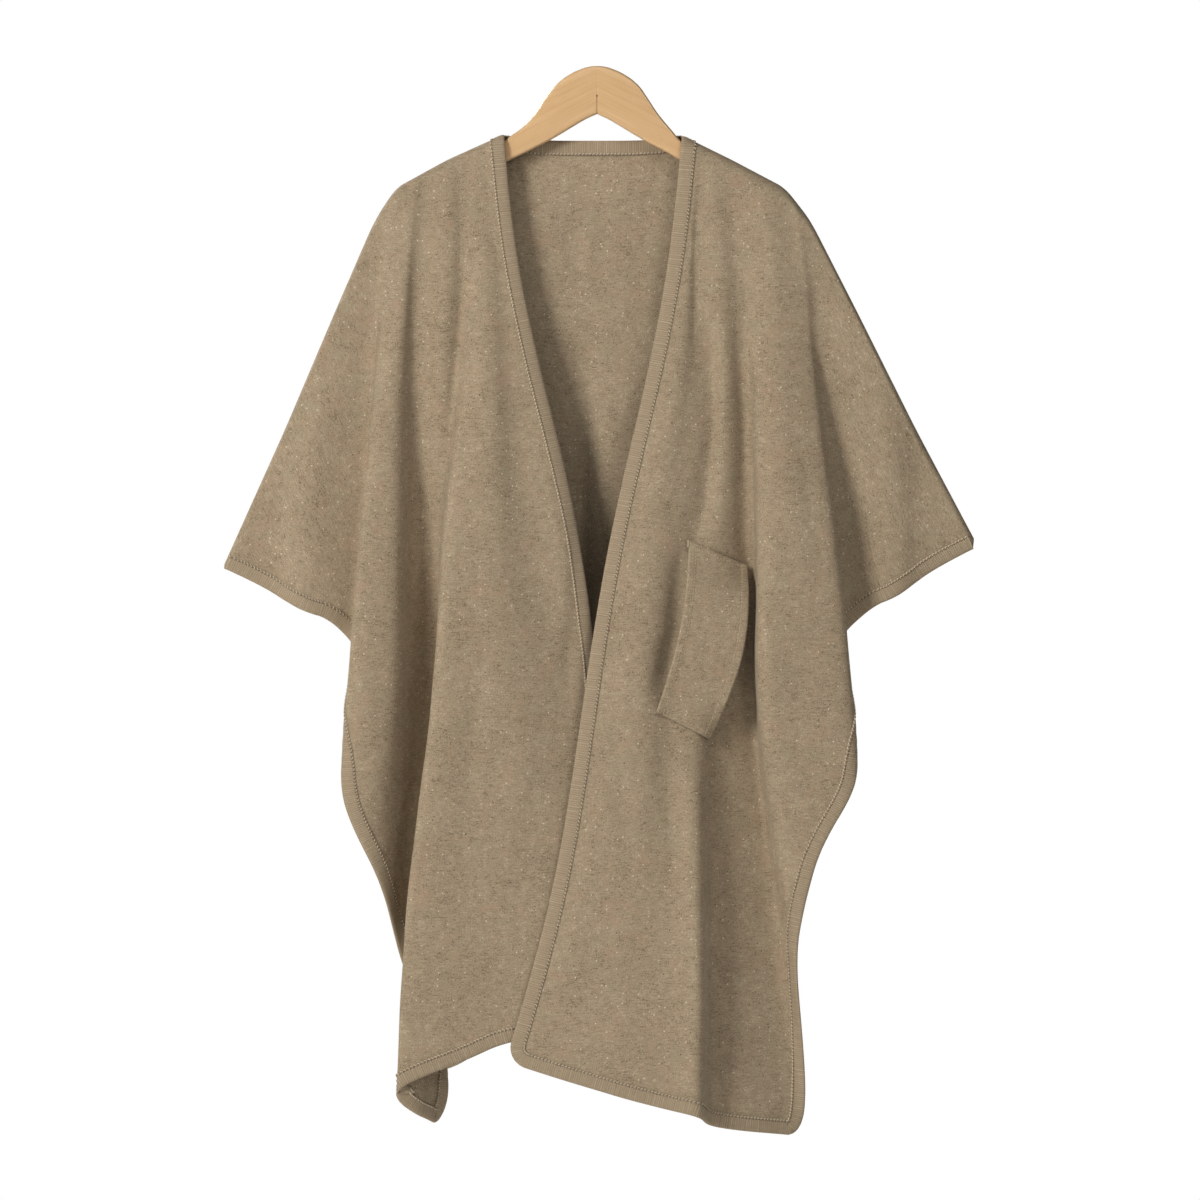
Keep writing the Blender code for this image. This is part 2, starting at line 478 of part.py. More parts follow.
def main():
    for old in list(bpy.data.objects):
        bpy.data.objects.remove(old)

    materials = {}
    for name, colour, rough in (("wool", WOOL, 0.95), ("braid", BRAID, 0.9), ("beech", BEECH, 0.38)):
        material = bpy.data.materials.new(name)
        material.use_nodes = True
        shader = material.node_tree.nodes["Principled BSDF"]
        shader.inputs["Base Color"].default_value = (*colour, 1)
        shader.inputs["Roughness"].default_value = rough
        shader.inputs["Metallic"].default_value = 0
        materials[name] = material

    right = Panel(RIGHT_FRONT, FRONT_CORNER, neck=False)
    left = Panel(LEFT_FRONT, FRONT_CORNER, neck=False)
    back = Panel(BACK, 0, neck=True)

    # The two fronts, with close columns round the lower front corner, each with one band that
    # runs down the front edge, along the hem and up the side to the sleeve tip
    for hand, panel in (("right", right), ("left", left)):
        sides = np.linspace(0, panel.knots[3], 400)
        drops = panel.bottom(sides)
        run = np.abs(panel.across(sides, drops) - panel.across(0, drops))
        corner = np.interp(FRONT_CORNER * (1 - np.cos(np.radians((42, 65, 90)))), run, sides)
        middle, normals = cloth_surface(panel, panel_columns(panel, corner), 18)
        half = normals * CLOTH / 2
        shell("front_panel_" + hand, middle + half, middle - half, materials["wool"])
        cells = np.zeros((len(middle) - 1, middle.shape[1] - 1), bool)
        cells[0, :] = cells[:, -1] = True
        wrapped = np.zeros(middle.shape[:2], bool)
        wrapped[0, :] = wrapped[:, -1] = True
        edge_binding("front_binding_" + hand, middle, normals, cells, wrapped, materials["braid"])

    # The back, with close columns where the neck edge turns onto the shoulder fold, one band along
    # its lower edge from tip to tip and one along the neck
    neck_places = NECK_CENTRE + NECK_HALF * np.array([-1.02, -0.96, -0.88, -0.76, 0.76, 0.88, 0.96, 1.02])
    neck_sides = np.array([back.side_at(x, 72.0) for x in neck_places])
    middle, normals = cloth_surface(back, panel_columns(back, neck_sides), 18)
    half = normals * CLOTH / 2
    shell("back_panel", middle + half, middle - half, materials["wool"])
    cells = np.zeros((len(middle) - 1, middle.shape[1] - 1), bool)
    wrapped = np.zeros(middle.shape[:2], bool)
    cells[:, -1] = True
    wrapped[:, -1] = True
    edge_binding("back_binding", middle, normals, cells, wrapped, materials["braid"])
    inside = np.nonzero(np.abs(middle[:, 0, 0] - NECK_CENTRE) < 0.85 * NECK_HALF)[0]
    cells = np.zeros_like(cells)
    wrapped = np.zeros_like(wrapped)
    cells[inside[0] : inside[-1], :4] = True
    wrapped[inside[0] : inside[-1] + 1, 0] = True
    edge_binding("neck_binding", middle, normals, cells, wrapped, materials["braid"])

    # Loop: sewn down along its top and bottom, standing clear of the front in between
    across = np.linspace(0, 1, 9)[:, None]
    down = np.linspace(0, 1, 15)[None, :]
    corners = np.array([LOOP_TOP, LOOP_BOTTOM], float)
    corners = np.concatenate([corners, np.array(LOOP_FORWARD, float)[..., None]], axis=-1)
    upper = corners[0, 0] + (corners[0, 1] - corners[0, 0]) * across[..., None]
    lower = corners[1, 0] + (corners[1, 1] - corners[1, 0]) * across[..., None]
    sheet = upper + (lower - upper) * down[..., None]
    arch = np.sin(math.pi * down)
    reach = sheet[..., 0] + (LOOP_BOW[0] + (LOOP_BOW[1] - LOOP_BOW[0]) * across) * arch
    drop = sheet[..., 1]
    free = sheet[..., 2] + (LOOP_SWELL[0] + (LOOP_SWELL[1] - LOOP_SWELL[0]) * across) * arch
    laid = np.array([[front_reach(left, x, d) for x, d in zip(xs, ds)] for xs, ds in zip(reach, drop)])
    laid = laid + LOOP_CLEAR
    loose = np.clip(np.minimum(down, 1 - down) / 0.22, 0, 1)
    loose = loose * loose * (3 - 2 * loose)
    middle = np.stack([reach, -laid - loose * np.maximum(free - laid, 0), -drop], axis=-1)
    face = unit(np.cross(np.gradient(middle, axis=1), np.gradient(middle, axis=0)))
    face = face * np.sign(-face[..., 1:2])
    shell("loop_strap", middle + face * CLOTH / 2, middle - face * CLOTH / 2, materials["wool"])

    # Hanger: rounded sections lofted from arm end to arm end, with the hook's socket bored in the crown
    half = HANGER_THICK / 2
    rings = []
    for arm in HANGER:
        tall = (arm.bottom - arm.top) / 2
        edge = min(HANGER_ROUND, tall * 0.7)
        middle_drop = (arm.bottom + arm.top) / 2
        ring = []
        for turn in range(4):
            sign_y, sign_z = ((1, 1), (-1, 1), (-1, -1), (1, -1))[turn]
            for part in range(4):
                angle = math.pi / 2 * (turn + part / 3)
                y = sign_y * (half - edge) + edge * math.cos(angle)
                z = sign_z * (tall - edge) + edge * math.sin(angle)
                ring.append((arm.across * MM, y * MM, (z - middle_drop) * MM))
        rings.append(ring)
    count = len(rings[0])
    verts = [point for ring in rings for point in ring]
    faces = [list(range(count)), list(range(len(verts) - count, len(verts)))]
    for section in range(len(rings) - 1):
        for k in range(count):
            here = section * count + k
            there = section * count + (k + 1) % count
            faces.append([here, there, there + count, here + count])
    hanger = solid("hanger", verts, faces, materials["beech"])
    bpy.ops.mesh.primitive_cylinder_add(
        vertices=20,
        radius=SOCKET_RADIUS * MM,
        depth=2 * SOCKET_DEPTH * MM,
        location=(0, 0, 0),
    )
    bore = bpy.context.object
    bore.name = "socket_bore"
    bore.hide_render = True
    bore.display_type = "WIRE"
    cut = hanger.modifiers.new("socket", "BOOLEAN")
    cut.operation = "DIFFERENCE"
    cut.object = bore


main()
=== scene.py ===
"""Looks of an open-fronted wool poncho with a pull-through loop, hanging on a wooden hanger.

Places on the cloth are given in millimetres, as on a pattern held up in front of the garment:
across (to the wearer's left of the centre line), drop (below the hanger's crown) and forward
(in front of the hanger's middle plane). Meshes are in metres, with X across, Y back and Z up.
"""

import math
from collections import namedtuple

import bmesh
import bpy
import numpy as np
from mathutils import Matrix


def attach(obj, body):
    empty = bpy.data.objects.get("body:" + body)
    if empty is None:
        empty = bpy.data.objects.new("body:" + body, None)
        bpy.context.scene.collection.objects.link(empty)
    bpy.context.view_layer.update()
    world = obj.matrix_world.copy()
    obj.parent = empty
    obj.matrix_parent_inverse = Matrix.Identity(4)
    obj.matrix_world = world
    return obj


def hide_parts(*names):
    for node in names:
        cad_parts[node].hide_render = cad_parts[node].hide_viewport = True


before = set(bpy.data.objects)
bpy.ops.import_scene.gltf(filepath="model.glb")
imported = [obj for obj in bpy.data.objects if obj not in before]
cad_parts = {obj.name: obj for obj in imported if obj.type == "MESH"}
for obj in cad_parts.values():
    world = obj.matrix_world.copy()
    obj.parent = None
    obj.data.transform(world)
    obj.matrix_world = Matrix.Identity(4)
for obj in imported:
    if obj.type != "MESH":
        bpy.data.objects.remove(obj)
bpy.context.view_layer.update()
MM = 0.001


# Camera square to the front of the garment, level with its middle and far enough away that the
# garment keeps its proportions. The picture takes in 1.2 m at the depth of the front panels. Its
# gamma lies below 1, which gives the shadows in the folds the photograph's contrast.
PICTURE_WIDTH = 1.2
PICTURE_CENTRE = (0.003, -0.535)
PICTURE_GAMMA = 0.87
CAMERA_DISTANCE = 14.0
FRONT_DEPTH = 0.03
SENSOR = 36.0


def new_object(name, data):
    """Object with the given data, put in the scene."""
    made = bpy.data.objects.new(name, data)
    bpy.context.collection.objects.link(made)
    return made


camera_data = bpy.data.cameras.new("camera")
camera_data.sensor_width = SENSOR
camera_data.lens = SENSOR * (CAMERA_DISTANCE - FRONT_DEPTH) / PICTURE_WIDTH
camera = new_object("camera", camera_data)
camera.location = (PICTURE_CENTRE[0], -CAMERA_DISTANCE, PICTURE_CENTRE[1])
camera.rotation_euler = (math.pi / 2, 0, 0)
bpy.context.scene.camera = camera
bpy.context.scene.view_settings.view_transform = "Standard"
bpy.context.scene.view_settings.gamma = PICTURE_GAMMA


# Studio: a round pale floor far below the hanging garment, a white room behind it, one large soft
# lamp on the left, weaker ones at the right and above that open the shadows, and one behind for
# the back.
GARMENT_MIDDLE = (0, 0, -0.5)
FLOOR_DROP = 1.6
FLOOR_RADIUS = 4.2
FLOOR_COLOUR = (0.86, 0.86, 0.85, 1)
ROOM_COLOUR = (1.0, 0.995, 0.985, 1)
ROOM_LIGHT = 0.025

turn = np.linspace(0, 2 * math.pi, 96, endpoint=False)
rim = np.stack([np.cos(turn), np.sin(turn), np.zeros(turn.shape)], axis=1) * FLOOR_RADIUS
rim[:, 2] = -FLOOR_DROP
floor_mesh = bpy.data.meshes.new("studio_floor")
floor_mesh.from_pydata(rim.tolist(), [], [list(range(len(rim)))])
studio_floor = new_object("studio_floor", floor_mesh)
floor_paint = bpy.data.materials.new("floor_paint")
floor_paint.use_nodes = True
floor_shader = floor_paint.node_tree.nodes["Principled BSDF"]
floor_shader.inputs["Base Color"].default_value = FLOOR_COLOUR
floor_shader.inputs["Roughness"].default_value = 0.8
floor_shader.inputs["Emission Color"].default_value = (1, 1, 1, 1)
floor_shader.inputs["Emission Strength"].default_value = 0.25
floor_mesh.materials.append(floor_paint)

room = bpy.data.worlds.new("white_room")
room.use_nodes = True
bpy.context.scene.world = room
room_nodes = room.node_tree.nodes
room_links = room.node_tree.links
seen = room_nodes["Background"]
seen.inputs["Color"].default_value = (1, 1, 1, 1)
seen.inputs["Strength"].default_value = 1.0
lighting = room_nodes.new("ShaderNodeBackground")
lighting.inputs["Color"].default_value = ROOM_COLOUR
lighting.inputs["Strength"].default_value = ROOM_LIGHT
ray = room_nodes.new("ShaderNodeLightPath")
choose = room_nodes.new("ShaderNodeMixShader")
room_links.new(ray.outputs["Is Camera Ray"], choose.inputs[0])
room_links.new(lighting.outputs[0], choose.inputs[1])
room_links.new(seen.outputs[0], choose.inputs[2])
room_links.new(choose.outputs[0], room_nodes["World Output"].inputs["Surface"])


def soft_lamp(name, place, size, power):
    """Square lamp at place, turned to look at the middle of the garment."""
    lamp_data = bpy.data.lights.new(name, "AREA")
    lamp_data.size = size
    lamp_data.energy = power
    lamp = new_object(name, lamp_data)
    lamp.location = place
    away = np.array(GARMENT_MIDDLE) - np.array(place, float)
    lamp.rotation_euler = (
        math.atan2(math.hypot(away[0], away[1]), -away[2]),
        0,
        math.atan2(away[1], away[0]) - math.pi / 2,
    )


soft_lamp("key_lamp", (-3.3, -3.3, 1.2), 1.3, 185)
soft_lamp("fill_lamp", (2.0, -4.0, 1.8), 1.5, 48)
soft_lamp("top_lamp", (0, -2.6, 3.7), 1.5, 52)
soft_lamp("rear_lamp", (-2.7, 3.3, 1.3), 1.6, 150)


# Back panel: the back of one cut of felted wool, which hangs from the shoulder fold in soft folds.
# Each fold line runs down the cloth; its lists give where it lies at each level below the crown,
# and end is the drop at which the cloth's own edge cuts it off. ROLL is how far the turn of the
# cloth at the shoulder fold reaches down, and EDGE_EASE how far a corner of an outline is rounded.
CLOTH = 2.0
SEAM_GAP = 0.3
EDGE_EASE = 7.0
ROLL = 11.0
NECK_CENTRE = -4.0
NECK_HALF = 90.0
NECK_DROP = 75.5
NECK_RISE = 6.5
TIP_TRIM = 3.5
BACK_GRID = (250, 158)
WAVER = 0.45
LEVELS = {"shoulder": 70, "yoke": 175, "chest": 305, "elbow": 455, "waist": 625, "hip": 825, "hem": 1045}

Fold = namedtuple("Fold", "name across forward end")
BACK = [
    Fold("right tip", (-376,) * 7, (-7,) * 7, 501),
    Fold("right sleeve outer", (-298, -300, -306, -314, -315, -315, -315),
         (-7, -7, -8, -10, -10, -10, -10), 530),
    Fold("right sleeve inner", (-223, -235, -250, -262, -270, -276, -282),
         (-9, -9, -10, -12, -13, -13, -13), 550),
    Fold("right sleeve root", (-202, -214, -223, -231, -242, -250, -258),
         (-10, -10, -10, -11, -12, -12, -12), 580),
    Fold("right underside", (-196, -208, -219, -231, -243, -254, -262),
         (-10, -12, -16, -26, -31, -30, -30), 645),
    Fold("right outer lip", (-192, -205, -217, -232, -246, -256, -260),
         (-11, -13, -20, -35, -42, -40, -38), 690),
    Fold("right outer swell", (-181, -191, -201, -210, -216, -222, -240),
         (-11, -15, -26, -40, -47, -46, -44), 772),
    Fold("right flank", (-172, -181, -187, -188, -187, -192, -212), (-11, -13, -17, -24, -27, -30, -30), 856),
    Fold("right hollow", (-160, -166, -170, -168, -163, -168, -190),
         (-11, -11, -13, -16, -17, -20, -24), 935),
    Fold("right side lip", (-148, -150, -156, -163, -170, -178, -184),
         (-11, -12, -17, -31, -45, -52, -50), 1013),
    Fold("right swell", (-136, -136, -140, -144, -148, -150, -152),
         (-11, -14, -25, -43, -55, -60, -58), 1007),
    Fold("right swell side", (-120, -116, -112, -108, -104, -104, -104),
         (-11, -13, -20, -31, -38, -43, -45), 980),
    Fold("right trough", (-104, -98, -86, -74, -66, -62, -60), (-11, -12, -15, -20, -24, -29, -34), 966),
    Fold("centre right", (-58, -54, -46, -38, -32, -30, -30), (-11, -13, -18, -29, -38, -44, -47), 962),
    Fold("centre valley", (-14, -14, -12, -12, -12, -10, -10), (-11, -15, -21, -33, -42, -47, -50), 962),
    Fold("centre step", (6, 8, 6, 2, 2, 6, 8), (-11, -13, -16, -21, -28, -34, -39), 960),
    Fold("centre ridge", (26, 28, 26, 22, 24, 30, 34), (-11, -12, -14, -18, -22, -27, -32), 961),
    Fold("left trough", (60, 66, 72, 78, 84, 90, 94), (-11, -13, -18, -27, -34, -39, -42), 966),
    Fold("left swell", (104, 112, 120, 128, 136, 144, 150), (-11, -14, -25, -42, -54, -58, -56), 986),
    Fold("left swell side", (122, 131, 139, 148, 158, 170, 178), (-11, -13, -20, -31, -40, -45, -46), 1003),
    Fold("left hollow", (138, 147, 154, 162, 168, 180, 190), (-11, -11, -13, -17, -19, -25, -32), 1020),
    Fold("left corner", (152, 162, 170, 178, 184, 190, 207), (-11, -13, -16, -20, -22, -26, -31), 1026),
    Fold("left outer swell", (164, 176, 188, 202, 210, 208, 220), (-11, -15, -26, -40, -45, -41, -38), 812),
    Fold("left outer lip", (178, 194, 211, 229, 246, 258, 280), (-10, -12, -19, -36, -43, -40, -38), 690),
    Fold("left underside", (186, 202, 217, 232, 248, 258, 272), (-10, -12, -16, -28, -33, -31, -31), 641),
    Fold("left sleeve root", (194, 210, 223, 235, 247, 254, 260), (-10, -10, -10, -12, -13, -13, -13), 571),
    Fold("left sleeve inner", (214, 237, 260, 272, 280, 288, 296), (-9, -9, -10, -12, -13, -13, -13), 538),
    Fold("left sleeve outer", (292, 302, 312, 318, 319, 319, 319), (-7, -7, -8, -10, -10, -10, -10), 514),
    Fold("left tip", (380,) * 7, (-7,) * 7, 481),
]

# The shoulder fold, from the right sleeve's tip over both arms of the hanger to the left tip
Ridge = namedtuple("Ridge", "across drop")
RIDGE = [Ridge(*point) for point in (
    (-380, 516), (-312, 365), (-261, 245), (-222, 155), (-201, 123), (-150, 95), (-88, 67), (0, 46),
    (82, 69), (135, 95), (188, 123), (213, 155), (259, 245), (319, 365), (387, 493),
)]

# Soft creases that the cloth shows besides its folds: each follows a line of (across, drop), and
# depth is how far it stands out, or in where it is negative
Crease = namedtuple("Crease", "line width depth")
BACK_CREASES = [
    Crease(((-8, 140), (-8, 200), (-10, 262)), 7, -1.6),
    Crease(((40, 150), (44, 260), (40, 340)), 14, 1.4),
    Crease(((-60, 190), (-54, 300), (-50, 420)), 16, 1.5),
    Crease(((84, 320), (96, 520), (104, 700)), 18, 1.6),
    Crease(((-120, 520), (-116, 700), (-112, 860)), 15, -1.6),
    Crease(((150, 420), (166, 620), (176, 820)), 14, -1.4),
    Crease(((-284, 330), (-300, 420), (-306, 480)), 16, 1.4),
    Crease(((286, 320), (300, 400), (312, 470)), 16, 1.4),
]


def spline_weights(knots, at):
    """Rows of weights that turn values at the knots into a natural cubic spline's values."""
    n = len(knots)
    gap = np.diff(knots)
    left = np.eye(n)
    right = np.zeros((n, n))
    for k in range(1, n - 1):
        left[k, k - 1 : k + 2] = gap[k - 1], 2 * (gap[k - 1] + gap[k]), gap[k]
        right[k, k - 1 : k + 2] = 6 / gap[k - 1], -6 / gap[k - 1] - 6 / gap[k], 6 / gap[k]
    bend = np.linalg.solve(left, right)
    at = np.asarray(at, float)
    inside = np.clip(at, knots[0], knots[-1])
    i = np.clip(np.searchsorted(knots, inside, side="right") - 1, 0, n - 2)
    one = np.eye(n)
    h = gap[i][..., None]
    b = ((inside - knots[i]) / gap[i])[..., None]
    a = 1 - b
    value = a * one[i] + b * one[i + 1] + h * h / 6 * ((a**3 - a) * bend[i] + (b**3 - b) * bend[i + 1])
    slope = (one[i + 1] - one[i]) / h + h / 6 * ((3 * b * b - 1) * bend[i + 1] - (3 * a * a - 1) * bend[i])
    return value + slope * (at - inside)[..., None]


def eased(at, knots, values, ease):
    """Straight lines between the knots, with each corner rounded over the given distance."""
    spread = np.linspace(-1, 1, 9) * ease
    lines = np.interp(np.asarray(at, float)[..., None] + spread, knots, values)
    return lines.mean(axis=-1)


def ridge_drop(across):
    """Drop of the shoulder fold: straight lines between its points, rounded at each of them."""
    return eased(across, [r.across for r in RIDGE], [r.drop for r in RIDGE], EDGE_EASE)


def unit(vectors):
    """Each vector divided by its length."""
    return vectors / np.linalg.norm(vectors, axis=-1, keepdims=True)


def smooth(value):
    """Eased ramp from 0 to 1: three times the square less twice the cube."""
    value = np.clip(value, 0, 1)
    return value * value * (3 - 2 * value)


class Panel:
    """One panel of the cloth as a surface of two numbers: side counts millimetres of cloth across
    its row of folds, and drop is how far down the point lies. corner is the radius of the rounded
    corner at the front edge's foot, or 0, and neck says that the panel has the neck edge."""

    def __init__(self, folds, corner, neck, creases):
        self.levels = np.array(list(LEVELS.values()), float)
        self.across_table = np.array([f.across for f in folds], float)
        self.forward_table = np.array([f.forward for f in folds], float)
        self.ends = np.array([f.end for f in folds], float)
        self.names = [f.name for f in folds]
        self.corner = corner
        self.neck = neck
        self.creases = creases
        self.face = math.copysign(1, self.forward_table[0, 0])
        step = np.hypot(np.diff(self.across_table, axis=0), np.diff(self.forward_table, axis=0))
        below = self.levels < np.maximum(self.ends[1:], self.ends[:-1])[:, None]
        self.knots = np.concatenate([[0], np.cumsum((step * below).sum(1) / below.sum(1))])
        self.top_sides = np.linspace(-20, self.knots[-1] + 20, 1800)
        self.top_drops = self.find_top(self.top_sides)

    def read(self, table, side, drop):
        """Value in a table of folds by levels, by a cubic spline each way."""
        rows = spline_weights(self.knots, side)
        columns = spline_weights(self.levels, drop)
        return np.einsum("...i,ij,...j->...", rows, table, columns)

    def across(self, side, drop):
        return self.read(self.across_table, side, drop)

    def find_top(self, side):
        """Drop at which a fold line meets the shoulder fold or the neck edge, found by repetition."""
        drop = np.full(np.shape(side), 90.0)
        for _ in range(20):
            drop = ridge_drop(self.across(side, drop))
        if self.neck:
            away = self.neck_share(side, drop)
            drop = np.maximum(drop, np.where(away < 1, NECK_DROP - NECK_RISE * away**4, 0))
        return drop

    def neck_share(self, side, drop):
        """0 at the middle of the neck and 1 at its ends and beyond."""
        return np.clip(np.abs(self.across(side, drop) - NECK_CENTRE) / NECK_HALF, 0, 1)

    def top(self, side):
        return np.interp(side, self.top_sides, self.top_drops)

    def bottom(self, side):
        """Drop of the lower edge: the folds' ends joined up, less a rounded corner at the front edge."""
        side = np.asarray(side, float)
        drop = eased(side, self.knots, self.ends, EDGE_EASE)
        if self.corner:
            run = np.abs(self.across(side, drop) - self.across(0, drop))
            inside = 1 - np.clip(run / self.corner, 0, 1)
            drop = drop - self.corner * (1 - np.sqrt(1 - inside**2))
        return drop

    def smooth_place(self, side, drop):
        """Point on the folds alone: the tables' across and forward, with a quarter-round at the top."""
        top = self.top(side)
        across = self.across(side, drop)
        forward = self.read(self.forward_table, side, drop)
        start = 1 - self.neck_share(side, top) ** 6 if self.neck else 0.0
        roll = np.clip(start + (drop - top) / ROLL, 0, 1)
        seam = self.face * SEAM_GAP / 2
        forward = seam + (forward - seam) * np.sqrt(1 - (1 - roll) ** 2)
        return np.stack([across, -forward, -drop], axis=-1)

    def relief(self, across, drop, side):
        """How far the creases stand out: a bell curve of the distance to each crease's line, and a
        faint waver over the whole cloth. Both fade out towards the shoulder fold."""
        here = np.stack([across, drop], axis=-1)
        height = np.zeros(np.shape(across))
        for crease in self.creases:
            line = np.array(crease.line, float)
            start = line[:-1]
            leg = np.diff(line, axis=0)
            along = np.sum((here[..., None, :] - start) * leg, axis=-1) / np.sum(leg * leg, axis=-1)
            near = start + np.clip(along, 0, 1)[..., None] * leg
            gap = np.linalg.norm(here[..., None, :] - near, axis=-1).min(axis=-1)
            total = np.linalg.norm(leg, axis=-1).sum()
            reach = np.linalg.norm(here - line[0], axis=-1)
            back = np.linalg.norm(here - line[-1], axis=-1)
            fade = smooth(np.minimum(reach, back) / (0.35 * total) + 0.15)
            height = height + crease.depth * np.exp(-((gap / crease.width) ** 2)) * fade
        waver = np.sin(side / 17 + drop / 41) * np.sin(drop / 29 - side / 53)
        settled = smooth((drop - self.top(side)) / 40)
        return (height + WAVER * waver) * settled

    def surface(self, side, drop):
        """Points of the cloth's middle surface on a grid of side and drop, and the unit vectors out
        of its outer face: the folds moved along their normal by the creases."""
        base = self.smooth_place(side, drop)
        out = self.way_out(side, drop)
        points = base + out * self.relief(base[..., 0], -base[..., 2], side)[..., None]
        cross = unit(np.cross(np.gradient(points, axis=0), np.gradient(points, axis=1)))
        cross = cross * np.sign(np.sum(cross * out, axis=-1, keepdims=True))
        settled = smooth((drop - self.top(side)) / 4 - 0.5)[..., None]
        return points, unit(out + (cross - out) * settled)

    def way_out(self, side, drop):
        """Unit vectors out of the folds' outer face, from short steps along and down the cloth. The
        sign changes with the way that across runs, and from the fronts to the back."""
        lower = np.maximum(drop, self.top(side) + 0.7)
        down = self.smooth_place(side, lower + 0.6) - self.smooth_place(side, lower - 0.6)
        along = self.smooth_place(side + 0.5, lower) - self.smooth_place(side - 0.5, lower)
        sign = -self.face * math.copysign(1, self.across_table[-1, 0] - self.across_table[0, 0])
        return unit(np.cross(along, down)) * sign

    def side_at(self, across, drop):
        """Place along the row of folds that lies at the given distance across."""
        sides = np.linspace(0, self.knots[-1], 1200)
        reach = self.across(sides, np.full(sides.shape, drop))
        if reach[-1] < reach[0]:
            return np.interp(-across, -reach, sides)
        return np.interp(across, reach, sides)

    def sleeve_share(self, side):
        """0 on the body and 1 on the sleeve, changing in the deep fold between them."""
        share = np.zeros(np.shape(side))
        for here, there in zip(self.names[:-1], self.names[1:]):
            pair = {here, there}
            for hand in ("", "right ", "left "):
                if pair == {hand + "sleeve root", hand + "sleeve inner"}:
                    a = self.knots[self.names.index(hand + "sleeve root")]
                    b = self.knots[self.names.index(hand + "sleeve inner")]
                    share = np.maximum(share, smooth((side - a) / (b - a)))
        return share


def cloth_grid(panel, columns, rows):
    """Side and drop of each point of a panel's mesh: even columns, and rows that lie close together
    round the shoulder fold and then evenly down to the lower edge."""
    first = TIP_TRIM if panel.neck else 0.0
    sides = np.linspace(first, panel.knots[-1] - TIP_TRIM, columns)
    top = panel.top(sides)[:, None]
    length = panel.bottom(sides)[:, None] - top
    near = np.minimum(1.0, 0.3 * length / ROLL)
    bend = ROLL * (1 - np.cos(np.linspace(0, math.pi / 2, 9)))
    head = top + near * bend
    body = head[:, -1:] + (top + length - head[:, -1:]) * np.linspace(0, 1, rows)[1:]
    drops = np.concatenate([head, body], axis=1)
    return np.repeat(sides[:, None], drops.shape[1], axis=1), drops


def quad_rows(rows, columns):
    """Corners of each cell of a grid of points numbered row by row."""
    at = np.arange(rows * columns).reshape(rows, columns)
    corners = [at[:-1, :-1], at[1:, :-1], at[1:, 1:], at[:-1, 1:]]
    return np.stack(corners, axis=-1).reshape(-1, 4)


def tube_cells(stations, around):
    """Corners of each cell of a tube: a ring of points repeated at each station along a line."""
    cells = quad_rows(stations, around + 1)
    return (cells // (around + 1)) * around + (cells % (around + 1)) % around


def add_piece(name, points, faces, material, numbers=None):
    """Object of one mesh from points in millimetres, with a named number on each point."""
    mesh = bpy.data.meshes.new(name)
    faces = np.asarray(faces, np.int32)
    mesh.vertices.add(len(points))
    mesh.vertices.foreach_set("co", (np.asarray(points, float) * MM).astype(np.float32).ravel())
    mesh.loops.add(faces.size)
    mesh.loops.foreach_set("vertex_index", faces.ravel())
    mesh.polygons.add(len(faces))
    mesh.polygons.foreach_set("loop_start", np.arange(0, faces.size, faces.shape[1], dtype=np.int32))
    mesh.polygons.foreach_set("use_smooth", np.ones(len(faces), bool))
    for label, values in (numbers or {}).items():
        layer = mesh.attributes.new(label, "FLOAT", "POINT")
        layer.data.foreach_set("value", np.asarray(values, np.float32).ravel())
    mesh.update(calc_edges=True)
    mesh.validate()
    mesh.materials.append(material)
    piece = new_object(name, mesh)
    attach(piece, "root")
    return piece


def closed_cloth(outer, inner, outward):
    """Points and faces of a closed thin sheet: two grids over each other, joined round their rim."""
    rows, columns = outer.shape[:2]
    count = rows * columns
    front = quad_rows(rows, columns)
    back = front[:, ::-1] + count
    at = np.arange(count).reshape(rows, columns)
    loop = np.concatenate([at[:-1, 0], at[-1, :-1], at[:0:-1, -1], at[0, :0:-1]])
    after = np.roll(loop, -1)
    rim = np.stack([after, loop, loop + count, after + count], axis=1)
    faces = np.concatenate([front, back, rim])
    cross = np.cross(outer[1:, :-1] - outer[:-1, :-1], outer[:-1, 1:] - outer[:-1, :-1])
    if np.sum(cross * outward[:-1, :-1]) < 0:
        faces = faces[:, ::-1]
    return np.concatenate([outer.reshape(-1, 3), inner.reshape(-1, 3)]), faces


def panel_piece(name, panel, grid, material):
    """Whole panel: its middle surface moved out and in by half the cloth's thickness."""
    sides, drops = cloth_grid(panel, *grid)
    middle, outward = panel.surface(sides, drops)
    folded = np.ones(len(sides), bool)
    if panel.neck:
        folded = np.abs(middle[:, 0, 0] - NECK_CENTRE) > NECK_HALF
    # Along the shoulder fold the way out has no part forward or back, so front and back meet square
    outward[folded, 0, 1] = 0
    outward = unit(outward)
    half = outward * CLOTH / 2
    points, faces = closed_cloth(middle + half, middle - half, outward)
    share = panel.sleeve_share(sides)
    return add_piece(name, points, faces, material, {"sleeve": np.stack([share, share])})


def arithmetic(operation, turned=False):
    """Method of Amount for an operator: one Math node of the amount and another value, the other
    value first where turned."""
    def method(self, other):
        pair = (other, self) if turned else (self, other)
        return self.finish.node("ShaderNodeMath", {"operation": operation}, dict(enumerate(pair)))
    return method


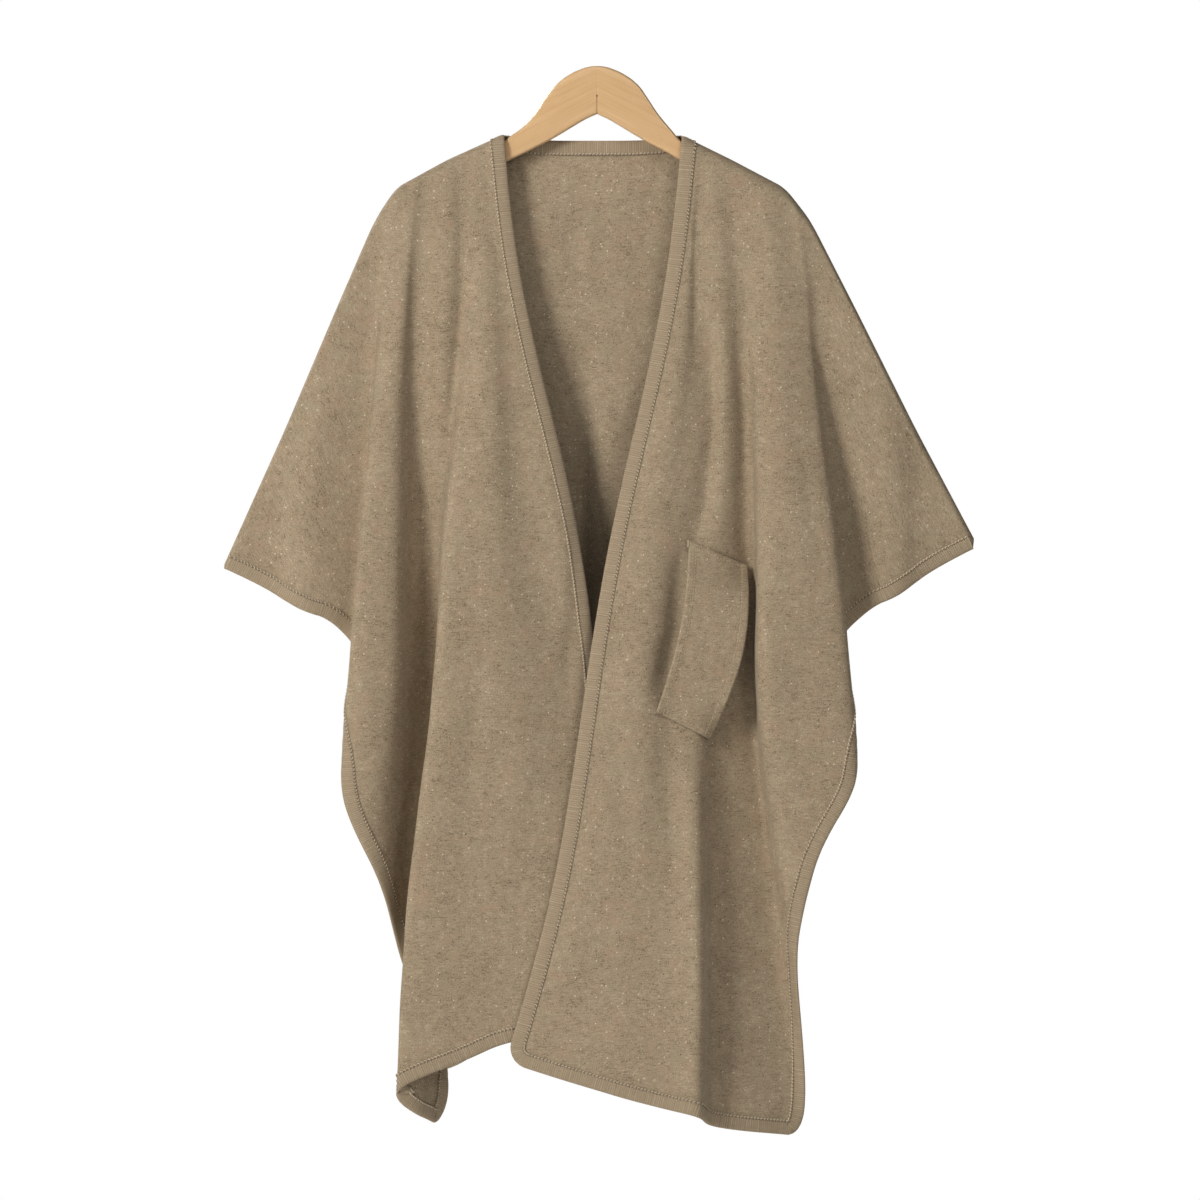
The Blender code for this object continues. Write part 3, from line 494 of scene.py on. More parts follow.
class Amount:
    """A number that changes over a surface. Arithmetic on it adds Math nodes to its finish."""

    def __init__(self, finish, socket):
        self.finish = finish
        self.socket = socket

    __add__ = __radd__ = arithmetic("ADD")
    __sub__ = arithmetic("SUBTRACT")
    __rsub__ = arithmetic("SUBTRACT", turned=True)
    __mul__ = arithmetic("MULTIPLY")
    __pow__ = arithmetic("POWER")

    def size(self):
        return self.finish.node("ShaderNodeMath", {"operation": "ABSOLUTE"}, {0: self})

    def over(self, low, high):
        """0 below low and 1 above high, easing in between; low may be the larger."""
        settings = {"interpolation_type": "SMOOTHSTEP"}
        inputs = {"Value": self, "From Min": low, "From Max": high}
        return self.finish.node("ShaderNodeMapRange", settings, inputs)


class Finish:
    """A material and the nodes that make it."""

    def __init__(self, name, constants):
        self.material = bpy.data.materials.new(name)
        self.material.use_nodes = True
        self.tree = self.material.node_tree
        self.shader = self.tree.nodes["Principled BSDF"]
        for socket, value in constants.items():
            self.shader.inputs[socket].default_value = value

    def node(self, kind, settings, inputs, output=0):
        """One node: its settings first, then the values or links of its sockets."""
        made = self.tree.nodes.new(kind)
        for name, value in settings.items():
            setattr(made, name, value)
        for name, value in inputs.items():
            self.feed(made.inputs[name], value)
        return Amount(self, made.outputs[output])

    def feed(self, socket, value):
        if isinstance(value, Amount):
            self.tree.links.new(value.socket, socket)
        else:
            socket.default_value = value

    def places(self):
        return self.node("ShaderNodeTexCoord", {}, {}, "Object")

    def place(self, places, axis):
        return self.node("ShaderNodeSeparateXYZ", {}, {"Vector": places}, axis)

    def number(self, name):
        return self.node("ShaderNodeAttribute", {"attribute_name": name}, {}, "Fac")

    def stretched(self, places, scale, turn=(0, 0, 0)):
        return self.node("ShaderNodeMapping", {}, {"Vector": places, "Scale": scale, "Rotation": turn})

    def noise(self, places, scale, detail=2.0, rough=0.5):
        inputs = {"Vector": places, "Scale": scale, "Detail": detail, "Roughness": rough}
        return self.node("ShaderNodeTexNoise", {}, inputs, "Fac")

    def spots(self, places, scale, radius, share):
        """Small round spots, one in a share of the cells of a Voronoi pattern."""
        inputs = {"Vector": places, "Scale": scale}
        far = self.node("ShaderNodeTexVoronoi", {}, inputs, "Distance")
        pick = self.node("ShaderNodeTexVoronoi", {}, inputs, "Color")
        red = self.node("ShaderNodeSeparateColor", {}, {"Color": pick}, "Red")
        return far.over(radius, radius * 0.45) * red.over(1 - share, 1 - share + 0.02)

    def blend(self, share, one, other):
        """Colour one where share is 0 and the other where it is 1."""
        settings = {"data_type": "RGBA", "clamp_factor": True}
        return self.node("ShaderNodeMix", settings, {0: share, 6: one, 7: other}, 2)

    def bump(self, height, depth, strength):
        inputs = {"Height": height, "Distance": depth, "Strength": strength}
        return self.node("ShaderNodeBump", {}, inputs)

    def join(self, socket, value):
        self.feed(self.shader.inputs[socket], value)


WOOL_DARK = (0.190, 0.145, 0.092)
WOOL_BASE = (0.345, 0.272, 0.186)
WOOL_PALE = (0.500, 0.412, 0.298)
WOOL_WARM = (0.40, 0.272, 0.185)
WOOL_GREEN = (0.325, 0.292, 0.190)
WOOL_NEP = (0.70, 0.60, 0.46)
WOOL_SPECK = (0.115, 0.072, 0.040)


def shade(colour, light=1.0):
    """Colour made lighter or darker by a factor."""
    return (*(part * light for part in colour), 1)


def wool_finish(name, light):
    """Felted wool in a beige melange: fibres of three shades, drawn out along the weft, with paler neps and
    darker specks. light is how bright the cloth is against the plain shade; above 1 it paints the cloth
    lighter as painted light."""
    wool = Finish(name, {
        "Sheen Weight": 0.22,
        "Sheen Roughness": 0.45,
        "Sheen Tint": (0.95, 0.88, 0.78, 1),
        "Specular IOR Level": 0.15,
        "Roughness": 0.95,
    })
    at = wool.places()
    fibre = wool.noise(at, 820, 3.0, 0.62)
    fuzz = wool.noise(at, 2300, 2.0, 0.6)
    cloud = wool.noise(at, 105, 3.0, 0.55)
    broad = wool.noise(at, 17, 2.0, 0.5)
    weft_body = wool.noise(wool.stretched(at, (150, 150, 760)), 1.0, 2.0, 0.6)
    turned = wool.stretched(at, (1, 1, 1), (0, math.radians(-62), 0))
    weft_sleeve = wool.noise(wool.stretched(turned, (150, 150, 760)), 1.0, 2.0, 0.6)
    sleeve = wool.number("sleeve")
    weft = weft_body * (1 - sleeve) + weft_sleeve * sleeve
    tone = fibre * 0.52 + weft * 0.24 + cloud * 0.14 + broad * 0.10
    colour = wool.blend(tone.over(0.36, 0.50), shade(WOOL_DARK, light), shade(WOOL_BASE, light))
    colour = wool.blend(tone.over(0.50, 0.66), colour, shade(WOOL_PALE, light))
    warm = wool.noise(at, 60, 2.0, 0.5)
    colour = wool.blend(warm.over(0.56, 0.72) * 0.30, colour, shade(WOOL_WARM, light))
    colour = wool.blend(warm.over(0.44, 0.28) * 0.30, colour, shade(WOOL_GREEN, light))
    neps = wool.spots(at, 190, 0.19, 0.30)
    specks = wool.spots(wool.stretched(at, (1, 1, 1), (0.3, 0.5, 0.2)), 150, 0.14, 0.22)
    colour = wool.blend(neps * 0.75, colour, shade(WOOL_NEP, light))
    colour = wool.blend(specks * 0.80, colour, shade(WOOL_SPECK))
    wool.join("Base Color", colour)
    height = fibre * 0.5 + weft * 0.35 + fuzz * 0.25 + neps * 0.15
    wool.join("Normal", wool.bump(height, 0.0009, 0.55))
    return wool.material


back_wool = wool_finish("back_wool", 1.0)
back = Panel(BACK, 0, True, BACK_CREASES)
back_cloth = panel_piece("back_cloth", back, BACK_GRID, back_wool)
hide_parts("back_panel")


# Front panels: the same cut comes over the shoulders and is slit up the middle. The wearer's right
# front lies underneath and turns under at its lower outer corner; the left front crosses over it.
FRONT_CORNER = 22.0
FRONT_GRID = (150, 176)

RIGHT_FRONT = [
    Fold("front edge", (-94, -83, -57, -22, 0, 8, 8), (11, 12, 17, 27, 31, 40, 40), 958),
    Fold("edge roll", (-100, -92, -70, -39, -16, -8, -8), (11, 13, 20, 34, 38, 43, 42), 960),
    Fold("edge hollow", (-107, -99, -83, -62, -32, -24, -24), (11, 13, 21, 35, 41, 45, 44), 962),
    Fold("body swell", (-115, -108, -102, -100, -90, -92, -98), (11, 14, 27, 45, 54, 49, 45), 978),
    Fold("body side", (-124, -120, -120, -132, -134, -146, -154), (11, 14, 26, 47, 58, 55, 51), 1001),
    Fold("body lip", (-132, -128, -134, -151, -163, -187, -200), (11, 12, 19, 42, 56, 56, 54), 1027),
    Fold("lip underside", (-139, -135, -140, -153, -161, -180, -185), (11, 11, 14, 29, 39, 45, 47), 1047),
    Fold("inner ripple", (-151, -153, -158, -161, -152, -157, -157), (11, 14, 16, 10, 2, 8, 18), 1060),
    Fold("pleat root", (-164, -171, -177, -173, -160, -160, -150), (11, 11, 11, 4, -6, -3, 8), 1003),
    Fold("outer flank", (-174, -184, -190, -190, -184, -192, -197), (11, 13, 16, 14, 4, 3, 8), 893),
    Fold("outer swell", (-183, -193, -203, -211, -216, -226, -227), (11, 15, 26, 37, 41, 35, 30), 801),
    Fold("outer lip", (-193, -207, -220, -235, -249, -264, -280), (11, 13, 20, 34, 38, 34, 30), 707),
    Fold("outer underside", (-197, -210, -221, -233, -246, -259, -272), (10, 12, 16, 25, 29, 28, 28), 652),
    Fold("sleeve root", (-202, -215, -224, -233, -244, -251, -260), (10, 10, 10, 11, 12, 12, 12), 585),
    Fold("sleeve inner", (-223, -235, -250, -264, -272, -278, -284), (9, 9, 10, 12, 13, 13, 13), 552),
    Fold("sleeve outer", (-298, -300, -306, -314, -315, -315, -315), (7, 7, 8, 10, 10, 10, 10), 533),
    Fold("sleeve tip", (-376,) * 7, (7,) * 7, 501),
]

LEFT_FRONT = [
    Fold("front edge", (86, 75, 52, 18, -11, -44, -106), (11, 12, 19, 36, 52, 54, 52), 995),
    Fold("edge swell", (93, 84, 68, 42, 22, 2, -30), (11, 13, 22, 41, 57, 58, 56), 1016),
    Fold("fore swell", (100, 94, 85, 62, 50, 44, 30), (11, 14, 23, 42, 57, 59, 58), 1033),
    Fold("fore hollow", (108, 100, 99, 86, 71, 74, 70), (11, 12, 18, 37, 50, 57, 58), 1043),
    Fold("mid ripple", (118, 120, 122, 114, 103, 102, 104), (11, 14, 23, 36, 45, 56, 58), 1052),
    Fold("step foot", (128, 131, 133, 129, 119, 111, 112), (11, 12, 20, 32, 35, 33, 34), 1059),
    Fold("side hollow", (138, 141, 144, 146, 143, 148, 154), (11, 11, 15, 23, 20, 17, 20), 1066),
    Fold("hollow side", (146, 149, 152, 157, 159, 177, 205), (11, 12, 16, 25, 21, 10, 1), 1072),
    Fold("side lip", (153, 156, 158, 160, 162, 187, 218), (11, 13, 22, 42, 52, 30, 21), 900),
    Fold("side swell", (162, 170, 176, 184, 193, 213, 230), (11, 15, 27, 51, 58, 41, 28), 815),
    Fold("side round", (172, 184, 197, 216, 231, 240, 248), (11, 14, 25, 48, 55, 46, 40), 759),
    Fold("outer lip", (182, 199, 216, 236, 254, 268, 282), (10, 12, 19, 38, 45, 42, 40), 695),
    Fold("outer underside", (187, 203, 218, 234, 250, 262, 274), (10, 12, 16, 29, 34, 32, 32), 642),
    Fold("sleeve root", (194, 210, 223, 235, 248, 255, 261), (10, 10, 10, 12, 13, 13, 13), 574),
    Fold("sleeve inner", (214, 237, 260, 273, 282, 290, 298), (9, 9, 10, 12, 13, 13, 13), 539),
    Fold("sleeve outer", (292, 302, 312, 319, 320, 320, 320), (7, 7, 8, 10, 10, 10, 10), 516),
    Fold("sleeve tip", (380,) * 7, (7,) * 7, 481),
]

RIGHT_CREASES = [
    Crease(((-137, 227), (-142, 339), (-156, 451)), 12, -1.6),
    Crease(((-112, 150), (-116, 260), (-112, 380)), 11, 1.2),
    Crease(((-70, 640), (-84, 760), (-110, 900)), 15, 1.5),
    Crease(((-112, 560), (-128, 720), (-140, 880)), 10, -1.1),
    Crease(((-270, 300), (-284, 380), (-290, 450)), 15, 1.3),
    Crease(((-312, 420), (-322, 460), (-330, 500)), 10, -0.8),
    Crease(((-205, 560), (-214, 640), (-222, 700)), 9, -1.0),
    Crease(((-196, 340), (-202, 470), (-203, 600), (-208, 720)), 11, 5.0),
    Crease(((-24, 440), (-20, 540), (-34, 640)), 9, -2.5),
]

LEFT_CREASES = [
    Crease(((17, 675), (24, 730), (30, 800)), 8, -1.5),
    Crease(((68, 675), (74, 730), (80, 810)), 9, -1.5),
    Crease(((-12, 800), (-20, 860), (-30, 920)), 13, 1.2),
    Crease(((40, 860), (44, 930), (46, 1000)), 15, -1.2),
    Crease(((92, 470), (96, 430), (106, 380)), 6, -1.0),
    Crease(((60, 670), (50, 700), (44, 730)), 7, 1.0),
    Crease(((112, 700), (118, 760), (124, 830)), 9, 1.2),
    Crease(((200, 350), (214, 440), (226, 540)), 9, -1.1),
    Crease(((276, 300), (292, 380), (300, 440)), 15, 1.3),
    Crease(((92, 670), (99, 780), (104, 900), (104, 1040)), 9, 3.0),
    Crease(((112, 240), (115, 360), (108, 440), (92, 500)), 10, -9.0),
    Crease(((143, 240), (149, 360), (149, 470), (157, 590)), 9, -4.0),
    Crease(((88, 470), (80, 560), (60, 650)), 11, -8.0),
]

front_wool = wool_finish("front_wool", 1.0)
right = Panel(RIGHT_FRONT, FRONT_CORNER, False, RIGHT_CREASES)
left = Panel(LEFT_FRONT, FRONT_CORNER, False, LEFT_CREASES)
right_cloth = panel_piece("right_front_cloth", right, FRONT_GRID, front_wool)
left_cloth = panel_piece("left_front_cloth", left, FRONT_GRID, front_wool)
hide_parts("front_panel_right")
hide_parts("front_panel_left")


# Bound edges: a yarn is sewn over every raw edge in close stitches that lie side by side across a
# band 14 mm wide, on both faces, and a chain of stitches runs along the band's inner border.
BAND_WIDTH = 14.0
BAND_LIFT = 0.75
STITCH_PITCH = 2.2
STITCH_RISE = 0.24
STITCH_STEPS = 4
CHAIN_PITCH = 3.6
CHAIN_STEPS = 4
CHAIN_SWING = 1.1
CHAIN_YARN = 0.62
CHAIN_PLACE = 12.6
CHAIN_AROUND = 5
YARN_DARK = (0.205, 0.155, 0.102)
YARN_BASE = (0.335, 0.263, 0.180)
CHAIN_PALE = (0.60, 0.51, 0.385)

# The outer half of the band's section, from its inner border to the cloth's edge: distance in from
# the edge, height off the cloth's middle, and how much of the stitches' wave it takes
BAND_TOP = CLOTH / 2 + BAND_LIFT
BAND_HALF = (
    (BAND_WIDTH, 0.55, 0.0),
    (13.4, BAND_TOP * 0.82, 0.4),
    (11.6, BAND_TOP, 0.9),
    (8.0, BAND_TOP + 0.1, 1.0),
    (4.0, BAND_TOP + 0.1, 1.0),
    (1.0, BAND_TOP * 0.93, 1.0),
    (-0.7, BAND_TOP * 0.55, 1.0),
)
BAND_FOLD = (-1.1, 0.0, 1.0)
BAND_SECTION = (*BAND_HALF, BAND_FOLD, *((away, -high, share) for away, high, share in BAND_HALF[::-1]))
WALK = (0.0, 2.5, 5.0, 7.5, 10.0, 12.5, BAND_WIDTH)


def even_path(panel, sides, drops, spacing):
    """Side and drop at even lengths of cloth along a line that is given by many close points."""
    points = panel.smooth_place(sides, drops)
    run = np.concatenate([[0], np.cumsum(np.linalg.norm(np.diff(points, axis=0), axis=1))])
    at = np.linspace(0, run[-1], int(round(run[-1] / spacing)) + 1)
    return np.interp(at, run, sides), np.interp(at, run, drops), at


def walk_inward(panel, sides, drops):
    """Side and drop of the points that lie at the WALK's distances square in from an edge. Each
    step solves for the side and drop whose move in the surface is the step wanted."""
    here = panel.smooth_place(sides, drops)
    ahead = unit(np.gradient(here, axis=0))
    way = unit(np.cross(panel.way_out(sides, drops), ahead))
    centre = panel.smooth_place(np.array([panel.knots[-1] / 2]), np.array([400.0]))
    if np.sum(way * (centre - here)) < 0:
        way = -way
    found = [(sides, drops)]
    for step in np.diff(WALK):
        by_side = (panel.smooth_place(sides + 0.4, drops) - panel.smooth_place(sides - 0.4, drops)) / 0.8
        by_drop = (panel.smooth_place(sides, drops + 0.8) - panel.smooth_place(sides, drops - 0.8)) / 1.6
        a = np.sum(by_side * by_side, axis=-1)
        b = np.sum(by_side * by_drop, axis=-1)
        c = np.sum(by_drop * by_drop, axis=-1)
        p = np.sum(by_side * way, axis=-1) * step
        q = np.sum(by_drop * way, axis=-1) * step
        det = np.maximum(a * c - b * b, 1e-6)
        sides = sides + (c * p - b * q) / det
        drops = drops + (a * q - b * p) / det
        drops = np.maximum(drops, panel.top(sides) + 0.05)
        there = panel.smooth_place(sides, drops)
        move = there - here
        size = np.linalg.norm(move, axis=-1, keepdims=True)
        way = np.where(size > 0.2, move / np.maximum(size, 1e-9), way)
        here = there
        found.append((sides, drops))
    return np.array([f[0] for f in found]), np.array([f[1] for f in found])


def band_point(frames, distance, height):
    """Points at a distance in from the edge and a height off the cloth's middle surface. frames holds
    the cloth's points and normals at the WALK's distances, and the ways out past the edge."""
    points, normals, outward = frames
    at = np.clip(distance, 0, WALK[-1])
    low = np.clip(np.searchsorted(WALK, at, side="right") - 1, 0, len(WALK) - 2)
    steps = np.array(WALK)
    share = ((at - steps[low]) / (steps[low + 1] - steps[low]))[..., None]
    column = np.arange(points.shape[1])
    base = points[low, column] * (1 - share) + points[low + 1, column] * share
    up = unit(normals[low, column] * (1 - share) + normals[low + 1, column] * share)
    beyond = np.maximum(-distance, 0)[..., None]
    return base + up * np.asarray(height)[..., None] + outward * beyond


def band_part(frames, run):
    """Points, cells and numbers of a band: its section carried along the edge, raised and sunk by a
    wave for each stitch."""
    phase = run / STITCH_PITCH
    wave = np.sin(math.pi * (phase + 0.05 * np.sin(phase * 1.7))) ** 2
    lean = np.sin(run / 23.0) * 0.25 + np.sin(run / 7.3) * 0.12
    ring = []
    painted_light = []
    for distance, height, share in BAND_SECTION:
        rise = share * STITCH_RISE * (wave - 0.5)
        away = np.full(run.size, distance) + (lean if distance > 13 else 0.0)
        if distance < 0:
            away = away - rise
            lift = np.full(run.size, height)
        else:
            lift = height + np.sign(height) * rise
        ring.append(band_point(frames, away, lift))
        # The stitches' wave is kept as painted light as well: the yarn is painted paler on each stitch's
        # crown and darker between stitches, as painted highlight and painted shade.
        painted_light.append(np.where(share > 0.2, wave, 0.35))
    rows = len(BAND_SECTION)
    cells = quad_rows(rows + 1, run.size) % (rows * run.size)
    return np.concatenate(ring), cells, np.concatenate(painted_light), np.tile(phase, rows), np.zeros(rows * run.size)


def chain_part(frames, run, hand):
    """The same for a chain of yarn that swings to and fro along the band's inner border, on the
    outer face where hand is 1 and on the inner one where it is -1."""
    link_at = np.arange(0, run[-1], CHAIN_PITCH / CHAIN_STEPS)
    column = np.interp(link_at, run, np.arange(run.size))
    low = np.clip(column.astype(int), 0, run.size - 2)
    part = (column - low)[:, None]
    near = tuple(a[..., low, :] * (1 - part) + a[..., low + 1, :] * part for a in frames)
    swing = np.arange(link_at.size) * 2 * math.pi / CHAIN_STEPS
    distance = CHAIN_PLACE + CHAIN_SWING * np.sin(swing) * hand
    height = hand * (BAND_TOP + 0.15 + 0.22 * np.cos(swing * 2))
    line = band_point(near, distance, height)
    along = unit(np.gradient(line, axis=0))
    aside = unit(np.cross(along, unit(near[1][-1])))
    up = np.cross(aside, along)
    angles = np.arange(CHAIN_AROUND) * 2 * math.pi / CHAIN_AROUND
    tube = [line + CHAIN_YARN * (math.cos(angle) * aside + math.sin(angle) * up) for angle in angles]
    cells = quad_rows(CHAIN_AROUND + 1, link_at.size) % (CHAIN_AROUND * link_at.size)
    # The links' light and dark are painted light: a wave along the swing that the yarn's finish paints pale
    # and dark.
    light = np.tile(0.5 + 0.5 * np.sin(swing + 0.6), CHAIN_AROUND)
    link = np.tile(link_at / CHAIN_PITCH, CHAIN_AROUND)
    return np.concatenate(tube), cells, light, link, np.ones(light.size)


def bound_edge(name, panel, sides, drops, material):
    """Band wrapped over an edge of a panel, with a chain along its inner border on each face."""
    sides, drops, run = even_path(panel, sides, drops, STITCH_PITCH / STITCH_STEPS)
    points, normals = panel.surface(*walk_inward(panel, sides, drops))
    outward = unit(points[0] - points[1])
    outward = unit(outward - np.sum(outward * normals[0], axis=-1, keepdims=True) * normals[0])
    frames = (points, normals, outward)
    pieces = [band_part(frames, run), chain_part(frames, run, 1), chain_part(frames, run, -1)]
    parts, cells, *shades = zip(*pieces)
    starts = np.cumsum([0] + [len(part) for part in parts[:-1]])
    faces = [cell + start for cell, start in zip(cells, starts)]
    numbers = {label: np.concatenate(part) for label, part in zip(("painted_light", "stitch", "chain"), shades)}
    made = add_piece(name, np.concatenate(parts), np.concatenate(faces), material, numbers)
    close_ends(made, run.size, len(parts[1]) // CHAIN_AROUND)
    return made


def close_ends(piece, count, links):
    """Fills the open ends of a band of count stations and of its two chains of so many links, and
    turns every face outwards."""
    last = len(BAND_SECTION) * count
    ends = [range(0, last, count), range(count - 1, last, count)[::-1]]
    for start in (last, last + CHAIN_AROUND * links):
        for end in (start, start + links - 1):
            ends.append(range(end, end + CHAIN_AROUND * links, links))
    work = bmesh.new()
    work.from_mesh(piece.data)
    work.verts.ensure_lookup_table()
    for end in ends:
        work.faces.new([work.verts[k] for k in end])
    bmesh.ops.recalc_face_normals(work, faces=work.faces)
    work.to_mesh(piece.data)
    work.free()


def yarn_finish(name, light):
    """Wool yarn of the edge stitches: painted highlight on the crown of each stitch and painted shade between
    them, with its own tone for each stitch and a chain of links painted light and dark as painted highlight
    and shade."""
    yarn = Finish(name, {
        "Sheen Weight": 0.18,
        "Sheen Roughness": 0.5,
        "Sheen Tint": (0.95, 0.88, 0.78, 1),
        "Specular IOR Level": 0.15,
        "Roughness": 0.92,
    })
    at = yarn.places()
    fibre = yarn.noise(at, 1300, 3.0, 0.6)
    cloud = yarn.noise(at, 160, 2.0, 0.5)
    painted_light = yarn.number("painted_light")
    stitch = yarn.number("stitch")
    chain = yarn.number("chain")
    steps = {"W": stitch, "Scale": 0.93, "Detail": 1.0}
    own = yarn.node("ShaderNodeTexNoise", {"noise_dimensions": "1D"}, steps, "Fac")
    # The stitch wave paints the yarn paler on each crown and darker between stitches: painted highlight and
    # painted shade.
    tone = painted_light * 0.30 + fibre * 0.46 + own * 0.24 + cloud * 0.12
    dark = shade(YARN_DARK, light)
    colour = yarn.blend(tone.over(0.22, 0.52), dark, shade(YARN_BASE, light))
    colour = yarn.blend(tone.over(0.56, 0.86), colour, shade(WOOL_PALE, light))
    # Painted highlight and shade on the chain: each link is painted pale on one part of its swing and dark on
    # the other.
    links = yarn.blend(painted_light.over(0.15, 0.55), dark, shade(CHAIN_PALE, light))
    colour = yarn.blend(chain * 0.85, colour, links)
    yarn.join("Base Color", colour)
    yarn.join("Normal", yarn.bump(fibre, 0.0005, 0.5))
    return yarn.material


def front_path(panel):
    """Close points down the front edge, then along the hem and up the side to the sleeve's tip."""
    top = panel.top(0.0) + 0.3
    foot = panel.bottom(0.0)
    down = np.linspace(0, 1, 1500)
    edge_drops = top + (foot - top) * down**1.3
    last = panel.knots[-1] - TIP_TRIM
    sides = last * np.linspace(0, 1, 5000)[1:] ** 2.2
    drops = panel.bottom(sides)
    return np.concatenate([np.zeros(1500), sides]), np.concatenate([edge_drops, drops])


def hem_path(panel):
    """Close points along the back's lower edge, from the right sleeve's tip to the left one's."""
    sides = np.linspace(TIP_TRIM, panel.knots[-1] - TIP_TRIM, 6000)
    return sides, panel.bottom(sides)


def neck_path(panel, reach):
    """Close points along the neck edge, as far out as reach times half its width."""
    ends = [float(panel.side_at(NECK_CENTRE + NECK_HALF * reach * k, 72.0)) for k in (-1, 1)]
    sides = np.linspace(*ends, 900)
    return sides, panel.top(sides) + 0.02


edge_yarn = yarn_finish("edge_yarn", 1.0)
right_edge = bound_edge("right_front_edge", right, *front_path(right), edge_yarn)
left_edge = bound_edge("left_front_edge", left, *front_path(left), edge_yarn)
back_edge = bound_edge("back_edge", back, *hem_path(back), edge_yarn)
neck_edge = bound_edge("neck_edge", back, *neck_path(back, 0.95), edge_yarn)
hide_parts("front_binding_right")
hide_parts("front_binding_left")
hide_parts("back_binding")
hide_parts("neck_binding")


# Loop: a strap of the same felt, its long sides turned in and stitched, sewn to the left front
# along its top and bottom so that the other front can be pulled through behind it. It lies over the
# left front's fold lines from the second to LOOP_INNER, and LOOP_CLEAR off them where it is sewn.
LOOP_TOP = ((92, 476), (151, 501))
LOOP_BOTTOM = ((59, 647), (113, 674))
LOOP_FORWARD = ((43, 37), (59, 46))
LOOP_BOW = (8, 14)
LOOP_SWELL = (11, 12)
LOOP_CLEAR = 2.2
LOOP_INNER = 7
LOOP_HEM = 0.12
COARSE = np.linspace(0, 1, 13), np.linspace(0, 1, 25)
FINE = np.linspace(0, 1, 61), np.linspace(0, 1, 121)


def strap_middle(across, down):
    """Across, drop and forward of the strap's middle surface for shares across and down it: a bowed
    four-sided patch that swells forward between its sewn ends."""
    corners = np.array([LOOP_TOP, LOOP_BOTTOM], float)
    corners = np.concatenate([corners, np.array(LOOP_FORWARD, float)[..., None]], axis=-1)
    upper = corners[0, 0] + (corners[0, 1] - corners[0, 0]) * across[..., None]
    lower = corners[1, 0] + (corners[1, 1] - corners[1, 0]) * across[..., None]
    patch = upper + (lower - upper) * down[..., None]
    arch = np.sin(math.pi * down)
    reach = patch[..., 0] + (LOOP_BOW[0] + (LOOP_BOW[1] - LOOP_BOW[0]) * across) * arch
    drop = patch[..., 1]
    free = patch[..., 2] + (LOOP_SWELL[0] + (LOOP_SWELL[1] - LOOP_SWELL[0]) * across) * arch
    return reach, drop, free


def front_below(reach, drop):
    """How far forward the left front comes within 3.5 mm beside each place."""
    sides = np.linspace(left.knots[1], left.knots[LOOP_INNER], 240)
    grid_sides = np.broadcast_to(sides, (*reach.shape, sides.size))
    cloth = left.smooth_place(grid_sides, np.broadcast_to(drop[..., None], grid_sides.shape))
    near = np.abs(cloth[..., 0] - reach[..., None]) < 3.5
    return np.where(near, -cloth[..., 1], -1e3).max(axis=-1)


coarse_across, coarse_down = np.meshgrid(*COARSE, indexing="ij")
reach, drop, free = strap_middle(coarse_across, coarse_down)
laid = front_below(reach, drop) + LOOP_CLEAR
loose = smooth(np.minimum(coarse_down, 1 - coarse_down) / 0.22)
forward = laid + loose * np.maximum(free - laid, 0)
fine_across, fine_down = np.meshgrid(*FINE, indexing="ij")
weights_across = spline_weights(COARSE[0], fine_across)
weights_down = spline_weights(COARSE[1], fine_down)
reach, drop, free = strap_middle(fine_across, fine_down)
forward = np.einsum("...i,ij,...j->...", weights_across, forward, weights_down)
strap = np.stack([reach, -forward, -drop], axis=-1)
outward = unit(np.cross(np.gradient(strap, axis=1), np.gradient(strap, axis=0)))
outward = outward * np.sign(-outward[..., 1:2])
side_share = np.minimum(fine_across, 1 - fine_across)
hem = 1 - smooth((side_share - LOOP_HEM) / 0.03)
groove = np.exp(-(((side_share - LOOP_HEM) / 0.014) ** 2))
rounding = np.sqrt(1 - np.clip(1 - side_share / 0.03, 0, 1) ** 2)
thick = (CLOTH / 2 + 0.5 * hem) * (0.35 + 0.65 * rounding) - 0.60 * groove
strap_points, strap_faces = closed_cloth(
    strap + outward * thick[..., None],
    strap - outward * (CLOTH / 2) * (0.35 + 0.65 * rounding)[..., None],
    outward,
)
# The strap's felt is the panels' own felt painted 3 % lighter: painted light.
loop_wool_painted_light = wool_finish("loop_wool_painted_light", 1.03)
no_sleeve = {"sleeve": np.zeros(len(strap_points))}
loop_cloth = add_piece("loop_cloth", strap_points, strap_faces, loop_wool_painted_light, no_sleeve)
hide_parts("loop_strap")


# Stitches of the loop: a sewing thread runs along each turned hem and along both sewn ends, and a
# bar of close stitches ties the upper corner down to the front.
THREAD = 0.46
STITCH_LONG = 2.5
STITCH_APART = 3.4
STITCH_POINTS = 36
BAR_HALF = 3.2
BAR_STITCHES = 9


